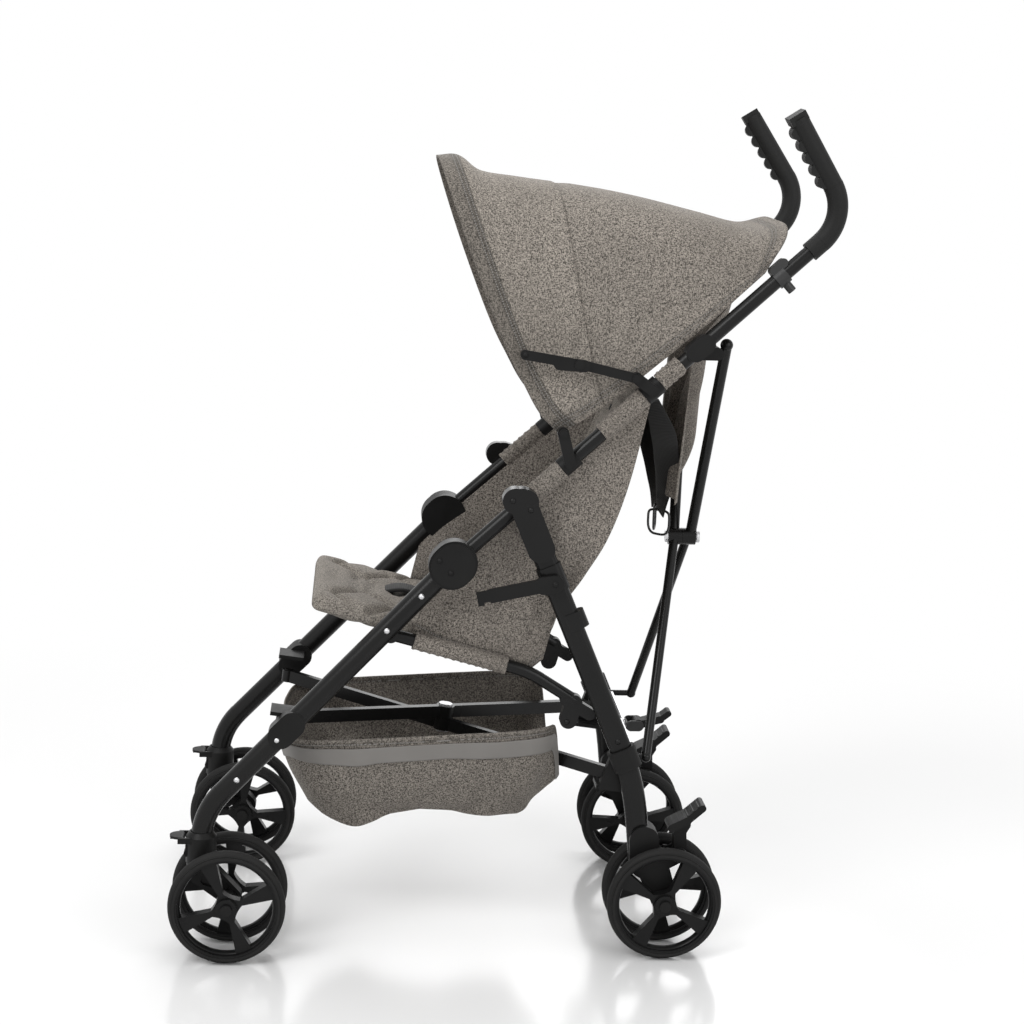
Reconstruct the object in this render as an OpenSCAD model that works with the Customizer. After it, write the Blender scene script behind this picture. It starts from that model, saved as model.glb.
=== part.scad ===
// Umbrella stroller. Origin on the floor under the middle of the stroller.
// Front faces -Y, the child's left side is +X, up is +Z. Sizes in millimetres.

/* [Wheels] */
// Radius of every wheel
wheel_r = 72.5; // [66:0.5:80]
// Width of one wheel
wheel_w = 24; // [18:1:26]
// Radial thickness of the tyre and rim ring
ring_t = 12; // [9:1:16]
// Radius of the axles
axle_r = 4; // [3:0.5:5]
// Distance between the two wheels of a front pair
front_pitch = 74; // [72:1:84]
// Distance between the two wheels of a rear pair
rear_pitch = 62; // [61:1:68]
// Axle position of the front wheels
front_axle_y = -337; // [-345:1:-330]
// Axle position of the rear wheels
rear_axle_y = 209; // [204:1:214]

/* [Side frames] */
// Distance of a front swivel axis from the middle
swivel_x = 186; // [180:1:195]
// How far the front wheels trail behind their swivel axis
trail = 34; // [26:1:40]
// Radius of the front leg tube
leg_r = 13; // [11:0.5:14]
// Radius of the handle tube
tube_r = 9; // [8:0.5:10]
// Radius of the handle grip
grip_r = 12.5; // [11.5:0.5:14]
// Inward lean of the side frames in degrees
lean = 2.9; // [2:0.1:3.5]
// Slope of the front leg in degrees
leg_slope = 46.3; // [45:0.1:48]
// Slope of the handle tube in degrees
tube_slope = 42.6; // [41.5:0.1:43.5]
// Inward turn of the grips in degrees
grip_toe = 9; // [4:1:14]
// Height of the elbow joint
elbow_z = 498; // [490:1:506]
// Radius of the oval elbow cover
elbow_r = 31; // [28:1:34]

/* [Rear legs] */
// Distance of a rear hub from the middle
hub_x = 169; // [166:1:174]
// Width of the rear leg tube, front to back
rear_leg_w = 28; // [24:1:30]
// Thickness of the rear leg tube, side to side
rear_leg_t = 16; // [14:1:18]
// Height of the rear leg hinge
head_z = 577; // [573:1:582]

/* [Folding braces] */
// Reach of one half of an under-seat bar
bar_half = 250; // [236:1:258]
// Height of the under-seat bars
bar_h = 16; // [14:1:18]
// Width of the under-seat bars
bar_w = 10; // [8:1:12]
// Radius of the rear crossed tubes
cross_r = 7; // [6:0.5:7.5]
// Free gap between parts that move past each other
gap = 0.3; // [0.25:0.05:0.5]

/* [Soft goods] */
// Half width of the seat pad
seat_half = 139; // [126:1:139]
// Thickness of the seat pad
pad_t = 20; // [16:1:24]
// Half width of the canopy at its lower edge
canopy_half = 170; // [166:1:174]
// Thickness of hanging cloth
cloth_t = 3; // [2.5:0.5:4]

/* [Hidden] */
$fn = 48;
fit = 0.05;
bulge = 0.2;
overlap = 3;
waist = 0.04;
front_leg_y = front_axle_y - trail;
foot_z = 150;
elbow_y = -67;
bend_r = 90;
head_y = 16;
head_out = 14;
rivet_r = 3.6;
shank_r = 2.1;
frame_black = [0.05, 0.05, 0.055];
plastic_black = [0.07, 0.07, 0.075];
steel = [0.72, 0.72, 0.73];
cloth_grey = [0.45, 0.43, 0.41];
pad_grey = [0.55, 0.53, 0.50];

// Point on the front leg line, at distance t down from the elbow
function leg_at(t) = [elbow_y - t * cos(leg_slope), elbow_z - t * sin(leg_slope)];
// Point on the handle tube line, at distance t up from the elbow
function tube_at(t) = [elbow_y + t * cos(tube_slope), elbow_z + t * sin(tube_slope)];
// Point in space on the plane x = 0, from its place in the Y-Z plane
function yz(p) = [0, p[0], p[1]];
// Sideways place of the leaning frame plane at height z
function lean_x(z) = swivel_x - (z - foot_z) * tan(lean);

leg_len = (elbow_y - front_leg_y) / cos(leg_slope);
grip_start = 579;
grip_corner = grip_start + 65;
grip_turn = 80;
grip_bend_r = 55;
grip_end = 139;

// One side of the stroller: side 1 is the left, side -1 mirrors it to the right
module side(s) {
    if (s > 0) children();
    else mirror([1, 0, 0]) children();
}

// The leaning plane of a side frame: children are drawn with x = 0 in the plane
module leaning(s) {
    side(s) translate([swivel_x, 0, foot_z]) rotate([0, -lean, 0]) translate([0, 0, -foot_z])
        children();
}

// Round rod from point p to point q
module rod(p, q, r) {
    v = q - p;
    len = norm(v);
    translate(p) rotate([0, acos(v[2] / len), atan2(v[1], v[0])]) rotate([0, 0, 37]) cylinder(r = r, h = len);
}

// Flat outline in the Y-Z plane, thickened from x0 to x1
module slab(x0, x1) {
    translate([x0, 0, 0]) rotate([90, 0, 90]) linear_extrude(x1 - x0) children();
}

// Bar outline with round ends from p to q, a hair narrower between them
module bar2d(p, q, r) {
    v = q - p;
    h = r - waist;
    translate(p) circle(r);
    translate(q) circle(r);
    translate(p) rotate(atan2(v[1], v[0])) translate([0, -h]) square([norm(v), 2 * h]);
}

// Bent round tube: an arc of radius bend in the Y-Z plane around centre c
module arc_tube(c, bend, a0, a1, r) {
    translate([0, c[0], c[1]]) rotate([90, 0, 90]) rotate([0, 0, a0])
        rotate_extrude(angle = a1 - a0, $fn = 96) translate([bend, 0]) circle(r);
}

// Round tube from p to w with a bend at the corner q; the bend is a little thicker
module bent_tube(p, q, w, bend, r) {
    u = (q - p) / norm(q - p);
    v = (w - q) / norm(w - q);
    turn = acos(u * v);
    way = cross(u, v) > 0 ? 1 : -1;
    reach = bend * tan(turn / 2);
    a = atan2(u[1], u[0]) - way * 90;
    rod(yz(p), yz(q - (reach - overlap) * u), r);
    arc_tube(q - reach * u + way * bend * [-u[1], u[0]], bend, min(a, a + way * turn), max(a, a + way * turn), r + bulge);
    rod(yz(q + (reach - overlap) * v), yz(w), r);
}

// Domed rivet head on a face at x, with its shank going in
module rivet(x, p, depth = 5) {
    translate([x, p[0], p[1]]) rotate([0, 90, 0]) {
        intersection() {
            translate([0, 0, -1.6]) sphere(r = 4);
            cylinder(r = rivet_r, h = 4);
        }
        translate([0, 0, -depth]) cylinder(r = shank_r, h = depth + 1);
    }
}

// Hole for a rivet shank
module rivet_hole(x, p, depth = 5) {
    translate([x, p[0], p[1]]) rotate([0, 90, 0]) translate([0, 0, -depth - 0.2])
        cylinder(r = shank_r + fit, h = depth + 3);
}

leg_rivets = [leg_at(55), leg_at(115), leg_at(307), leg_at(377)];

module front_leg_shape(g = 0) {
    bent_tube(leg_at(2), leg_at(leg_len), [front_leg_y, foot_z - 12], bend_r, leg_r + g);
}

module front_leg(s) {
    color(frame_black) leaning(s) difference() {
        front_leg_shape();
        for (p = leg_rivets) rivet_hole(leg_r, p);
    }
}

module handle_shape(g = 0) {
    rod(yz(tube_at(14)), yz(tube_at(grip_start + 8)), tube_r + g);
}

// Upper part of the handle: drawn from the grip corner, with the grip turned inwards
module grip_frame() {
    c = tube_at(grip_corner);
    translate([0, c[0], c[1]]) rotate([tube_slope - 90, 0, 0]) rotate([0, 0, grip_toe])
        rotate([90 - tube_slope, 0, 0]) children();
}

grip_out = tube_slope + grip_turn;
grip_dir = [cos(grip_out), sin(grip_out)];

module grip_path(r, from, to) {
    grip_frame() bent_tube(-from * [cos(tube_slope), sin(tube_slope)], [0, 0], to * grip_dir, grip_bend_r, r);
}

module handle_tube(s) {
    color(frame_black) difference() {
        leaning(s) {
            handle_shape();
            grip_path(tube_r - bulge, grip_corner - grip_start + 4, grip_end - 8);
        }
        side(s) translate([head_x - rear_leg_t / 2 - 16 - fit, head_y, head_z]) rotate([0, 90, 0])
            cylinder(r = head_pin_r + fit, h = 30);
    }
}

// Soft grip with finger bumps on its inner side and a squared end
module grip(s) {
    n = [-sin(grip_out), cos(grip_out)];
    color(plastic_black) leaning(s) difference() {
        union() {
            grip_path(grip_r, grip_corner - grip_start, grip_end);
            grip_frame() {
                translate(yz((grip_end + 3) * grip_dir)) rotate([grip_out, 0, 0])
                    translate([-10, -8, -11]) cube([20, 11, 23]);
                for (i = [0:4]) slab(-7, 7) translate((56 + 17 * i) * grip_dir + (grip_r - 3.5) * n) circle(r = 8.4);
            }
        }
        rod(yz(tube_at(grip_start - 2)), yz(tube_at(grip_start + 8 + fit)), tube_r + fit);
        grip_path(tube_r - bulge + fit, grip_corner - grip_start - 2, grip_end - 8 + fit);
    }
}

// Oval cover that joins front leg and handle tube, with its two rivets
module elbow_cover(s) {
    color(plastic_black) leaning(s) difference() {
        union() {
            slab(-leg_r - 3, leg_r + 3) bar2d(leg_at(3), tube_at(3), elbow_r - 3);
            slab(leg_r + 3, leg_r + 5) bar2d(leg_at(2), tube_at(2), elbow_r - 5);
            rivet(leg_r + 5, [elbow_y - 17, elbow_z + 6], 2);
            rivet(leg_r + 5, [elbow_y - 3, elbow_z - 9], 2);
        }
        rod(yz(leg_at(2 - fit)), yz(leg_at(90)), leg_r + fit);
        handle_shape(fit);
    }
}

rail_x = 151;
rail_r = 8;
rail_front = [-147, 405];
rail_knee = [32, 358];
rail_end = [92, 321];

// Side tube under the seat, with its rear bracket
module seat_rail(s) {
    color(frame_black) side(s) translate([rail_x, 0, 0]) {
        bent_tube(rail_front, rail_knee, rail_end, 120, rail_r);
        slab(-rail_r + 1, rail_r - 1) {
            bar2d(rail_end + [-2, -2], rail_end + [-8, -24], 11);
            bar2d(rail_end + [-12, 2], rail_end + [18, -16], 7.6);
        }
        slab(-rail_r + 1.5, lean_x(rail_front[1] + 9) - leg_r - gap - rail_x)
            bar2d(rail_front, rail_front + [6, -2], 9.5);
        rivet(rail_r - 1, rail_end + [-10, -26], 2);
    }
}

// Caster housing at the foot of the front leg, with the lugs of the swivel lock
lock_y = front_leg_y - 24;
lock_z = foot_z - 1;
housing_r = 19;
housing_low = 119;

module caster_housing(s) {
    color(plastic_black) difference() {
        union() {
            side(s) translate([swivel_x, front_leg_y, housing_low]) {
                cylinder(r = housing_r, h = foot_z - housing_low + 2);
                translate([0, 0, foot_z - housing_low + 2]) cylinder(r1 = housing_r, r2 = leg_r + 1.5, h = 6);
                translate([-9, -19, 8]) cube([18, 13, 15]);
                translate([-5, -16.8, 11.5]) rotate([0, 90, 0]) cylinder(r = 4.4, h = 10);
            }
            side(s) translate([swivel_x - 16, lock_y, lock_z]) rotate([0, 90, 0]) cylinder(r = 2, h = 32);
            for (x = [-16, 13])
                side(s) translate([swivel_x + x, lock_y - 4, lock_z - 3.5]) cube([3, 20, 7.5]);
        }
        leaning(s) rod([0, front_leg_y, foot_z + 30], [0, front_leg_y, foot_z - 12 - fit], leg_r + fit);
        side(s) translate([swivel_x, front_leg_y, housing_low - 1]) cylinder(r = 5 + fit, h = 15);
    }
}

// Flat lever that locks the swivel
module swivel_lock(s) {
    color(plastic_black) side(s) translate([swivel_x, lock_y, lock_z]) difference() {
        union() {
            translate([-12.7, 0, 0]) rotate([0, 90, 0]) cylinder(r = 4.2, h = 25.4);
            translate([0, 0, 1.2]) linear_extrude(3) {
                translate([-12.7, -2]) square([25.4, 2]);
                translate([0, -2]) intersection() {
                    circle(r = 12.7);
                    translate([-13, -13]) square([26, 13.5]);
                }
            }
            translate([-7, -13.5, 0.2]) cube([14, 4, 2]);
        }
        translate([-20, 0, 0]) rotate([0, 90, 0]) cylinder(r = 2 + fit, h = 40);
    }
}

// Caster fork: stem, head disc, web between the wheels and the axle
module caster_fork(s) {
    axle = [front_axle_y, wheel_r];
    half = front_pitch / 2 + wheel_w / 2;
    color(plastic_black) side(s) translate([swivel_x, 0, 0]) {
        translate([0, front_leg_y, housing_low - 13]) {
            cylinder(r = housing_r - 1, h = 13 - gap);
            cylinder(r = 5, h = 25);
        }
        difference() {
            slab(-9, 9) {
                bar2d([front_leg_y - 2, housing_low - 16], axle + [0, 4], 12);
                bar2d([front_leg_y + 12, housing_low - 14], axle + [6, 2], 11);
            }
            for (x = [-10, 5]) slab(x, x + 5) bar2d([front_leg_y + 6, 96], axle + [-4, 16], 6);
        }
        translate([-21, front_axle_y, wheel_r]) rotate([0, 90, 0]) cylinder(r = 12, h = 42);
        translate([-half - 1, front_axle_y, wheel_r]) rotate([0, 90, 0])
            cylinder(r = axle_r, h = 2 * half + 2);
        for (x = [-half - 4, half + gap])
            translate([x, front_axle_y, wheel_r]) rotate([0, 90, 0]) cylinder(r = 7, h = 4 - gap);
    }
}

// One wheel: rounded tyre, rim ring, four broad spokes that flare to the rim, hub bore
module wheel(spoke_a) {
    w = wheel_w / 2;
    in_r = wheel_r - ring_t;
    difference() {
        union() {
            rotate_extrude($fn = 120) {
                translate([wheel_r - 7, 0]) scale(1) intersection() {
                    translate([-1, 0]) circle(r = 8);
                    square([20, 2 * w - 2], center = true);
                }
                translate([in_r, -w + 2]) square([ring_t - 5, 2 * w - 4]);
                translate([in_r + 3, -w]) square([ring_t - 9, 2 * w]);
                square([13, w]);
                translate([0, -w]) square([13, 2 * w]);
            }
            translate([0, 0, -w + 5]) linear_extrude(2 * w - 10) spokes2d(in_r, spoke_a);
        }
        translate([0, 0, -w - 1]) cylinder(r = axle_r + fit, h = 2 * w + 2);
    }
}

// Four spokes: narrow at half way, wide at the hub and at the rim
module spokes2d(in_r, spoke_a) {
    difference() {
        circle(r = in_r + 1, $fn = 96);
        for (a = [0:90:270]) rotate(spoke_a + a) intersection() {
            translate([in_r * 0.86, 0]) circle(r = in_r * 0.62, $fn = 64);
            circle(r = in_r - 1, $fn = 96);
            polygon([[0, 0], [80, -56], [80, 56]]);
        }
    }
}

module wheel_at(s, x, y, spoke_a) {
    color(plastic_black) side(s) translate([x, y, wheel_r]) rotate([90, 0, 90]) wheel(spoke_a);
}

rear_bend_z = 268;
rear_slope = 23.2;
rear_bend_r = 330;
rear_turn = 17;

// The rear leg hangs from its head and leans in a little towards the hub
head_x = hub_x + head_out;
rear_lean = atan(head_out / (head_z - wheel_r));
module rear_plane(s) {
    side(s) translate([head_x, head_y, head_z]) rotate([0, rear_lean, 0]) children();
}

// Flat oval tube section
module oval2d(g = 0) {
    a = rear_leg_w / 2 + g;
    b = rear_leg_t / 2 + g;
    translate([0, a - b]) circle(b);
    translate([0, b - a]) circle(b);
    translate([waist - b, b - a]) square([2 * (b - waist), 2 * (a - b)]);
}

rear_straight = (head_z - rear_bend_z) / cos(rear_slope);
rear_end_a = rear_slope - rear_turn;

module rear_leg_shape(g = 0) {
    rotate([rear_slope, 0, 0]) {
        translate([0, 0, -rear_straight - overlap]) linear_extrude(rear_straight - 10 + overlap) oval2d(g);
        translate([0, -rear_bend_r, -rear_straight]) rotate([0, 90, 0]) rotate([0, 0, 90])
            rotate_extrude(angle = -rear_turn, $fn = 180) translate([rear_bend_r, 0]) rotate(90) oval2d(g + bulge);
        translate([0, -rear_bend_r, -rear_straight]) rotate([-rear_turn, 0, 0])
            translate([0, rear_bend_r, -44]) linear_extrude(44 + overlap) oval2d(g);
    }
}

head_pin_r = 5;

// Rear leg with its rounded head casting, hinge bore, collar and rivets
module rear_leg(s) {
    t = rear_leg_t / 2;
    color(frame_black) difference() {
        rear_plane(s) union() {
            rear_leg_shape();
            rotate([rear_slope, 0, 0]) {
                slab(-t + 0.3, t + 3) {
                    bar2d([0, 4], [0, -60], rear_leg_w / 2 + 3);
                    bar2d([-7, 8], [4, 2], rear_leg_w / 2 + 2);
                }
                translate([0, 0, -118]) linear_extrude(34) oval2d(2.2);
                translate([0, 0, -172]) linear_extrude(22) translate([0, 6]) oval2d(1.2);
                rivet(t + 3, [-10, 10], 2);
                rivet(t + 3, [6, -9], 2);
                rivet(t, [0, -rear_straight + 10], 2);
            }
        }
        side(s) translate([head_x - t - 10, head_y, head_z]) rotate([0, 90, 0])
            cylinder(r = head_pin_r + fit, h = t + 18);
    }
}

// Places on the rear leg, measured from its head
function leg_point(d) = [head_y + d * sin(rear_slope), head_z - d * cos(rear_slope)];

// Clamp on the rear leg that carries brace, crossed tube and under-seat bar
clamp_d = 352;
module leg_bracket(s) {
    c = leg_point(clamp_d);
    color(plastic_black) difference() {
        union() {
            rear_plane(s) rotate([rear_slope, 0, 0]) translate([0, 0, -clamp_d - 14])
                linear_extrude(28) oval2d(4);
            side(s) translate([138, link_y - gap - 22, link_z + 3]) cube([26, 22, 8]);
            side(s) translate([126, under_rear[0] - 10, under_rear[1] - 5]) rotate([-bar_tilt, 0, 0])
                cube([36, 34, 5]);
            side(s) slab(152, 164) polygon([under_rear + [-8, -5], under_rear + [26, -9], c + [4, -14], c + [4, 10], c + [-12, 10]]);
        }
        rear_plane(s) rear_leg_shape(fit);
    }
}

// Housing round the foot of the rear leg that holds the axle and the brake pedal
pedal_y = rear_axle_y + 20;
pedal_z = 130;
module rear_hub(s) {
    half = rear_pitch / 2 + wheel_w / 2;
    color(plastic_black) {
        difference() {
            union() {
                side(s) translate([hub_x, 0, 0]) {
                    slab(-15.5, 15.5) {
                        bar2d([rear_axle_y - 26, 148], [rear_axle_y - 24, 118], 19);
                        bar2d([rear_axle_y - 22, 118], [rear_axle_y, wheel_r], 15);
                        bar2d([rear_axle_y - 10, 122], [rear_axle_y + 2, 84], 14);
                    }
                    for (x = [-15.5, 12]) slab(x, x + 3.5) bar2d([pedal_y, pedal_z], [rear_axle_y - 6, 116], 9);
                    translate([-15, pedal_y, pedal_z]) rotate([0, 90, 0]) cylinder(r = 3, h = 30);
                }
            }
            rear_plane(s) rear_leg_shape(fit);
            side(s) translate([hub_x - 12, pedal_y, pedal_z]) rotate([0, 90, 0]) difference() {
                cylinder(r = 12, h = 24);
                cylinder(r = 3, h = 24);
            }
        }
        side(s) translate([hub_x, rear_axle_y, wheel_r]) rotate([0, 90, 0]) {
            translate([0, 0, -half - 1]) cylinder(r = axle_r, h = 2 * half + 2);
            for (z = [-half - 4, half + gap]) translate([0, 0, z]) cylinder(r = 7, h = 4 - gap);
            translate([0, 0, -rear_pitch / 2 + wheel_w / 2 + gap]) cylinder(r = 10, h = rear_pitch - wheel_w - 2 * gap);
        }
    }
}

// Brake pedal: boss on its pin, stem and broad foot pad
module brake_pedal(s) {
    color(plastic_black) side(s) translate([hub_x, pedal_y, pedal_z]) difference() {
        union() {
            translate([-11.6, 0, 0]) rotate([0, 90, 0]) cylinder(r = 8, h = 23.2);
            slab(-9, 9) {
                bar2d([1, 0], [0, 28], 8);
                bar2d([0, 28], [6, 38], 7);
            }
            slab(-17, 17) {
                bar2d([-12, 36], [8, 46], 5);
                bar2d([8, 46], [26, 62], 4.5);
            }
            for (i = [0:2]) slab(-15, 15) translate([-10, 41.2] + i * [7, 3.5]) circle(r = 1.4, $fn = 24);
            for (i = [0:2]) slab(-15, 15) translate([8, 51.3] + i * [6.5, 5.8]) circle(r = 1.4, $fn = 24);
        }
        translate([-20, 0, 0]) rotate([0, 90, 0]) cylinder(r = 3 + fit, h = 40);
    }
}

// Hook that holds the folded frames together; it turns on a rivet on the rear leg
hook_d = 106;
module fold_hook(s) {
    c = leg_point(hook_d);
    x0 = head_x - hook_d * cos(rear_slope) * sin(rear_lean) + rear_leg_t / 2 + 2.6;
    color(plastic_black) side(s) {
        slab(x0 + gap, x0 + 7) difference() {
            union() {
                bar2d(c, c + [-14, -2], 11);
                bar2d(c + [-14, -2], c + [-78, -16], 8.5);
                translate(c + [-93, -29]) rotate(12) square([16, 17]);
            }
            translate(c + [-85, -30]) rotate(12) square([8, 6]);
        }
        rivet(x0 + 7, c, 2);
    }
}

strut_x = canopy_half + 8.5;
strut_rear = [150, 733];
strut_front = [13, 759];
strut_knee = [79, 749];

// Outer arm of the canopy strut, from the knee to the pin at the front bow
module strut_front_arm(s) {
    color(plastic_black) side(s) {
        slab(strut_x + 3.4, strut_x + 6.6) difference() {
            union() {
                bar2d(strut_front, strut_knee, 6);
                bar2d(strut_knee + [-24, 0], strut_knee + [6, -2], 7.5);
            }
            translate(strut_knee) circle(r = 3 + fit);
        }
        slab(strut_x, strut_x + 3.4) translate(strut_front) circle(r = 6);
        rivet(strut_x + 6.6, strut_front, 2);
    }
}

// Rear arm of the canopy strut, with the knee pin
module strut_rear_arm(s) {
    color(plastic_black) side(s) {
        slab(strut_x, strut_x + 3.4 - gap) difference() {
            bar2d(strut_rear, strut_knee, 6);
            translate(strut_rear) circle(r = 3 + fit);
        }
        translate([strut_x, strut_knee[0], strut_knee[1]]) rotate([0, 90, 0]) {
            cylinder(r = 3, h = 8);
            translate([0, 0, 6.6 + gap]) cylinder(r = 6, h = 1.6);
        }
    }
}

canopy_pivot = [63, 664];

// Brackets riveted and clipped to the side frame
module frame_brackets(s) {
    up = tube_at(402);
    top_y = cross_top_y(s) - cross_r - 1.2 - gap;
    fx = leg_at(290);
    color(plastic_black) {
        difference() {
            union() {
                leaning(s) slab(-tube_r - 3, tube_r + 3) bar2d(up + [-6, -5], up + [6, 5], tube_r + 3);
                side(s) slab(cross_top_x - 9, lean_x(up[1]) - 2) bar2d([up[0] + 2, cross_top_z - 8], [top_y - 8, cross_top_z - 8], 8);
            }
            leaning(s) handle_shape(fit);
        }
        difference() {
            union() {
                leaning(s) slab(-leg_r - 3, leg_r + 1) bar2d(fx + [-7, -7], fx + [7, 7], leg_r + 3);
                side(s) translate([124, under_front[0], under_front[1]]) rotate([-bar_tilt, 0, 0])
                    translate([0, -14, 2 * bar_h + 3 * gap]) cube([41, 34, 5]);
            }
            leaning(s) front_leg_shape(fit);
        }
        for (t = [190, 324]) canopy_clip(s, t);
    }
}

// Ribbed clip on the handle tube; the lower one carries the canopy pivot, the upper the strut
module canopy_clip(s, t) {
    p = tube_at(t);
    upper = t > 250;
    lug = upper ? strut_rear : canopy_pivot;
    difference() {
        leaning(s) rod(yz(tube_at(t - 12)), yz(tube_at(t + 12)), tube_r + 3.5);
        leaning(s) handle_shape(fit);
    }
    side(s) slab(lean_x(p[1]) + tube_r + 0.8, strut_x - gap) bar2d(p, lug, 7);
    side(s) translate([canopy_half + gap, lug[0], lug[1]]) rotate([0, 90, 0]) {
        cylinder(r = upper ? 3 : 5, h = strut_x + 3.4 - canopy_half - gap);
        if (upper) translate([0, 0, strut_x + 3.4 - canopy_half - gap]) cylinder(r = 5.5, h = 1.4);
    }
}

module frame_rivets(s) {
    color(steel) leaning(s) for (p = leg_rivets) rivet(leg_r, p);
    p = tube_at(533);
    q = [cos(tube_slope + 90), sin(tube_slope + 90)];
    color(plastic_black) leaning(s) {
        translate([0, p[0], p[1]]) rotate([tube_slope, 0, 0]) {
            difference() {
                union() {
                    slab(-8, 8) bar2d([-2, tube_r + 3], [13, tube_r + 3], 5.6);
                    rod([0, -8, 0], [0, 8, 0], tube_r + 2.5);
                    translate([0, 0, -tube_r - 13]) cylinder(r = 5.5, h = 16);
                }
                rod([0, -40, 0], [0, 40, 0], tube_r + fit);
            }
        }
    }
    color(plastic_black) side(s) translate([head_x - rear_leg_t / 2 - 16, head_y, head_z]) rotate([0, 90, 0])
        cylinder(r = head_pin_r, h = rear_leg_t + 16);
}

bar_centre = [-66, 256];
bar_tilt = 7.2;
bar_a = 32.5;
function bar_point(d) = bar_centre + d * [cos(bar_tilt), -sin(bar_tilt)];
bar_reach = bar_half * cos(bar_a);
under_front = bar_point(-bar_reach - 4) + [0, -bar_h - gap];
under_rear = bar_point(bar_reach - 12) + [0, -bar_h - 2 * gap];

// One flat under-seat bar; left and right cross on the middle rivet
module under_bar(s) {
    level = s > 0 ? gap / 2 : -bar_h - gap / 2;
    color(frame_black) translate([0, bar_centre[0], bar_centre[1]]) rotate([-bar_tilt, 0, 0])
        translate([0, 0, level]) rotate([0, 0, 90 + s * bar_a]) difference() {
            linear_extrude(bar_h) difference() {
                union() {
                    bar2d([-bar_half, 0], [bar_half, 0], bar_w / 2);
                    circle(r = 12);
                    translate([bar_half, 0]) circle(r = 8);
                    translate([-bar_half, 0]) circle(r = 8);
                }
                circle(r = 4 + fit);
            }
            for (x = [-bar_half, bar_half]) translate([x, 0, -1]) cylinder(r = 3, h = 5);
        }
}

cross_centre = [240, 505];
cross_top_x = 118;
cross_top_z = 770;
cross_foot_x = 156;
cross_foot_z = 250;
cross_foot_y = 193;
cross_split = 9;
function cross_y(s) = cross_centre[0] + s * cross_split;
function cross_top_y(s) = cross_y(s) + 19;
function cross_foot(s) = cross_foot_y + s * cross_split;

// Rear crossed tube: thick above the middle bolt, thin below it
module rear_cross(s) {
    cy = cross_y(s);
    k = cross_split - cross_r - 1;
    color(frame_black) difference() {
        union() {
            rod([s * 2, cy + (s > 0 ? 3 : -1), cross_centre[1] + 8], [s * cross_top_x, cross_top_y(s), cross_top_z], cross_r);
            translate([s * cross_top_x, cross_top_y(s), cross_top_z]) sphere(r = cross_r + 1);
            rod([0, cy, cross_centre[1] + 4], [-s * cross_foot_x, cross_foot(s), cross_foot_z], cross_r - 1);
            translate([-s * cross_foot_x, cross_foot(s), cross_foot_z]) sphere(r = cross_r - 0.3);
            translate([0, cy + cross_split - gap / 2, cross_centre[1]]) rotate([90, 0, 0])
                cylinder(r = 11, h = 2 * cross_split - gap);
            translate([-s * cross_foot_x, cross_foot(s), cross_foot_z]) rotate([90, 0, 0])
                cylinder(r = 4, h = cross_foot(s) - link_y - 3);
        }
        translate([0, cy + 40, cross_centre[1]]) rotate([90, 0, 0]) cylinder(r = 4 + fit, h = 80);
    }
}

link_y = 168;
link_z = 250;
link_t = 3;
link_len = 135.5;
lever_y = link_y + 24;

// Half of the rear brace: flat steel link from the middle pin to the leg bracket
module brace_link(s) {
    y = link_y + (s > 0 ? 0 : link_t + gap);
    color(steel) translate([0, y + link_t, link_z]) rotate([90, 0, 0]) linear_extrude(link_t) difference() {
        bar2d([0, 0], [s * link_len, 0], 6.9);
        circle(r = 3.5 + fit);
        translate([s * 45, 0]) bar2d([0, 0], [s * 50, 0], 3);
    }
}

// Bolt on the middle plane that the under-seat bars turn on
module seat_bolt() {
    color(steel) translate([0, bar_centre[0], bar_centre[1]]) rotate([-bar_tilt, 0, 0]) {
        translate([0, 0, -bar_h - 2.5]) cylinder(r = 4, h = 2 * bar_h + 5);
        for (z = [bar_h + gap, -bar_h - gap - 2.5]) translate([0, 0, z]) cylinder(r = 9, h = 2.5);
    }
}

// Bolt that the rear crossed tubes turn on
module cross_bolt() {
    color(steel) translate([0, cross_centre[0], cross_centre[1]]) rotate([90, 0, 0]) {
        translate([0, 0, -2 * cross_split - 4]) cylinder(r = 4, h = 4 * cross_split + 7);
        for (z = [-2 * cross_split - 5.2, 2 * cross_split + gap]) translate([0, 0, z]) cylinder(r = 8, h = 3.5);
    }
}

// Middle pin of the rear brace, with the forked seat of the foot lever
module brace_bolt() {
    color(steel) translate([0, link_y - 3, link_z]) rotate([-90, 0, 0]) {
        cylinder(r = 3.5, h = 2 * link_t + gap + 6);
        translate([0, 0, -1]) cylinder(r = 8, h = 4 - gap);
    }
    color(plastic_black) {
        translate([-15, lever_y, link_z]) rotate([0, 90, 0]) cylinder(r = 3, h = 30);
        for (x = [-15, 12]) slab(x, x + 3) bar2d([lever_y, link_z], [link_y + 14.2, link_z], 7);
        slab(-14, 14) bar2d([link_y + 9, link_z - 3], [link_y + 9, link_z + 3], 1.6);
    }
}

// Foot lever that breaks the rear brace
module foot_lever() {
    color(plastic_black) translate([0, lever_y, link_z]) difference() {
        union() {
            rotate([0, 90, 0]) translate([0, 0, -11.5]) cylinder(r = 8, h = 23);
            slab(-10, 10) {
                bar2d([0, 0], [30, 8], 5);
                bar2d([30, 8], [40, 16], 4);
            }
        }
        rotate([0, 90, 0]) translate([0, 0, -20]) cylinder(r = 3 + fit, h = 40);
    }
}

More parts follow.
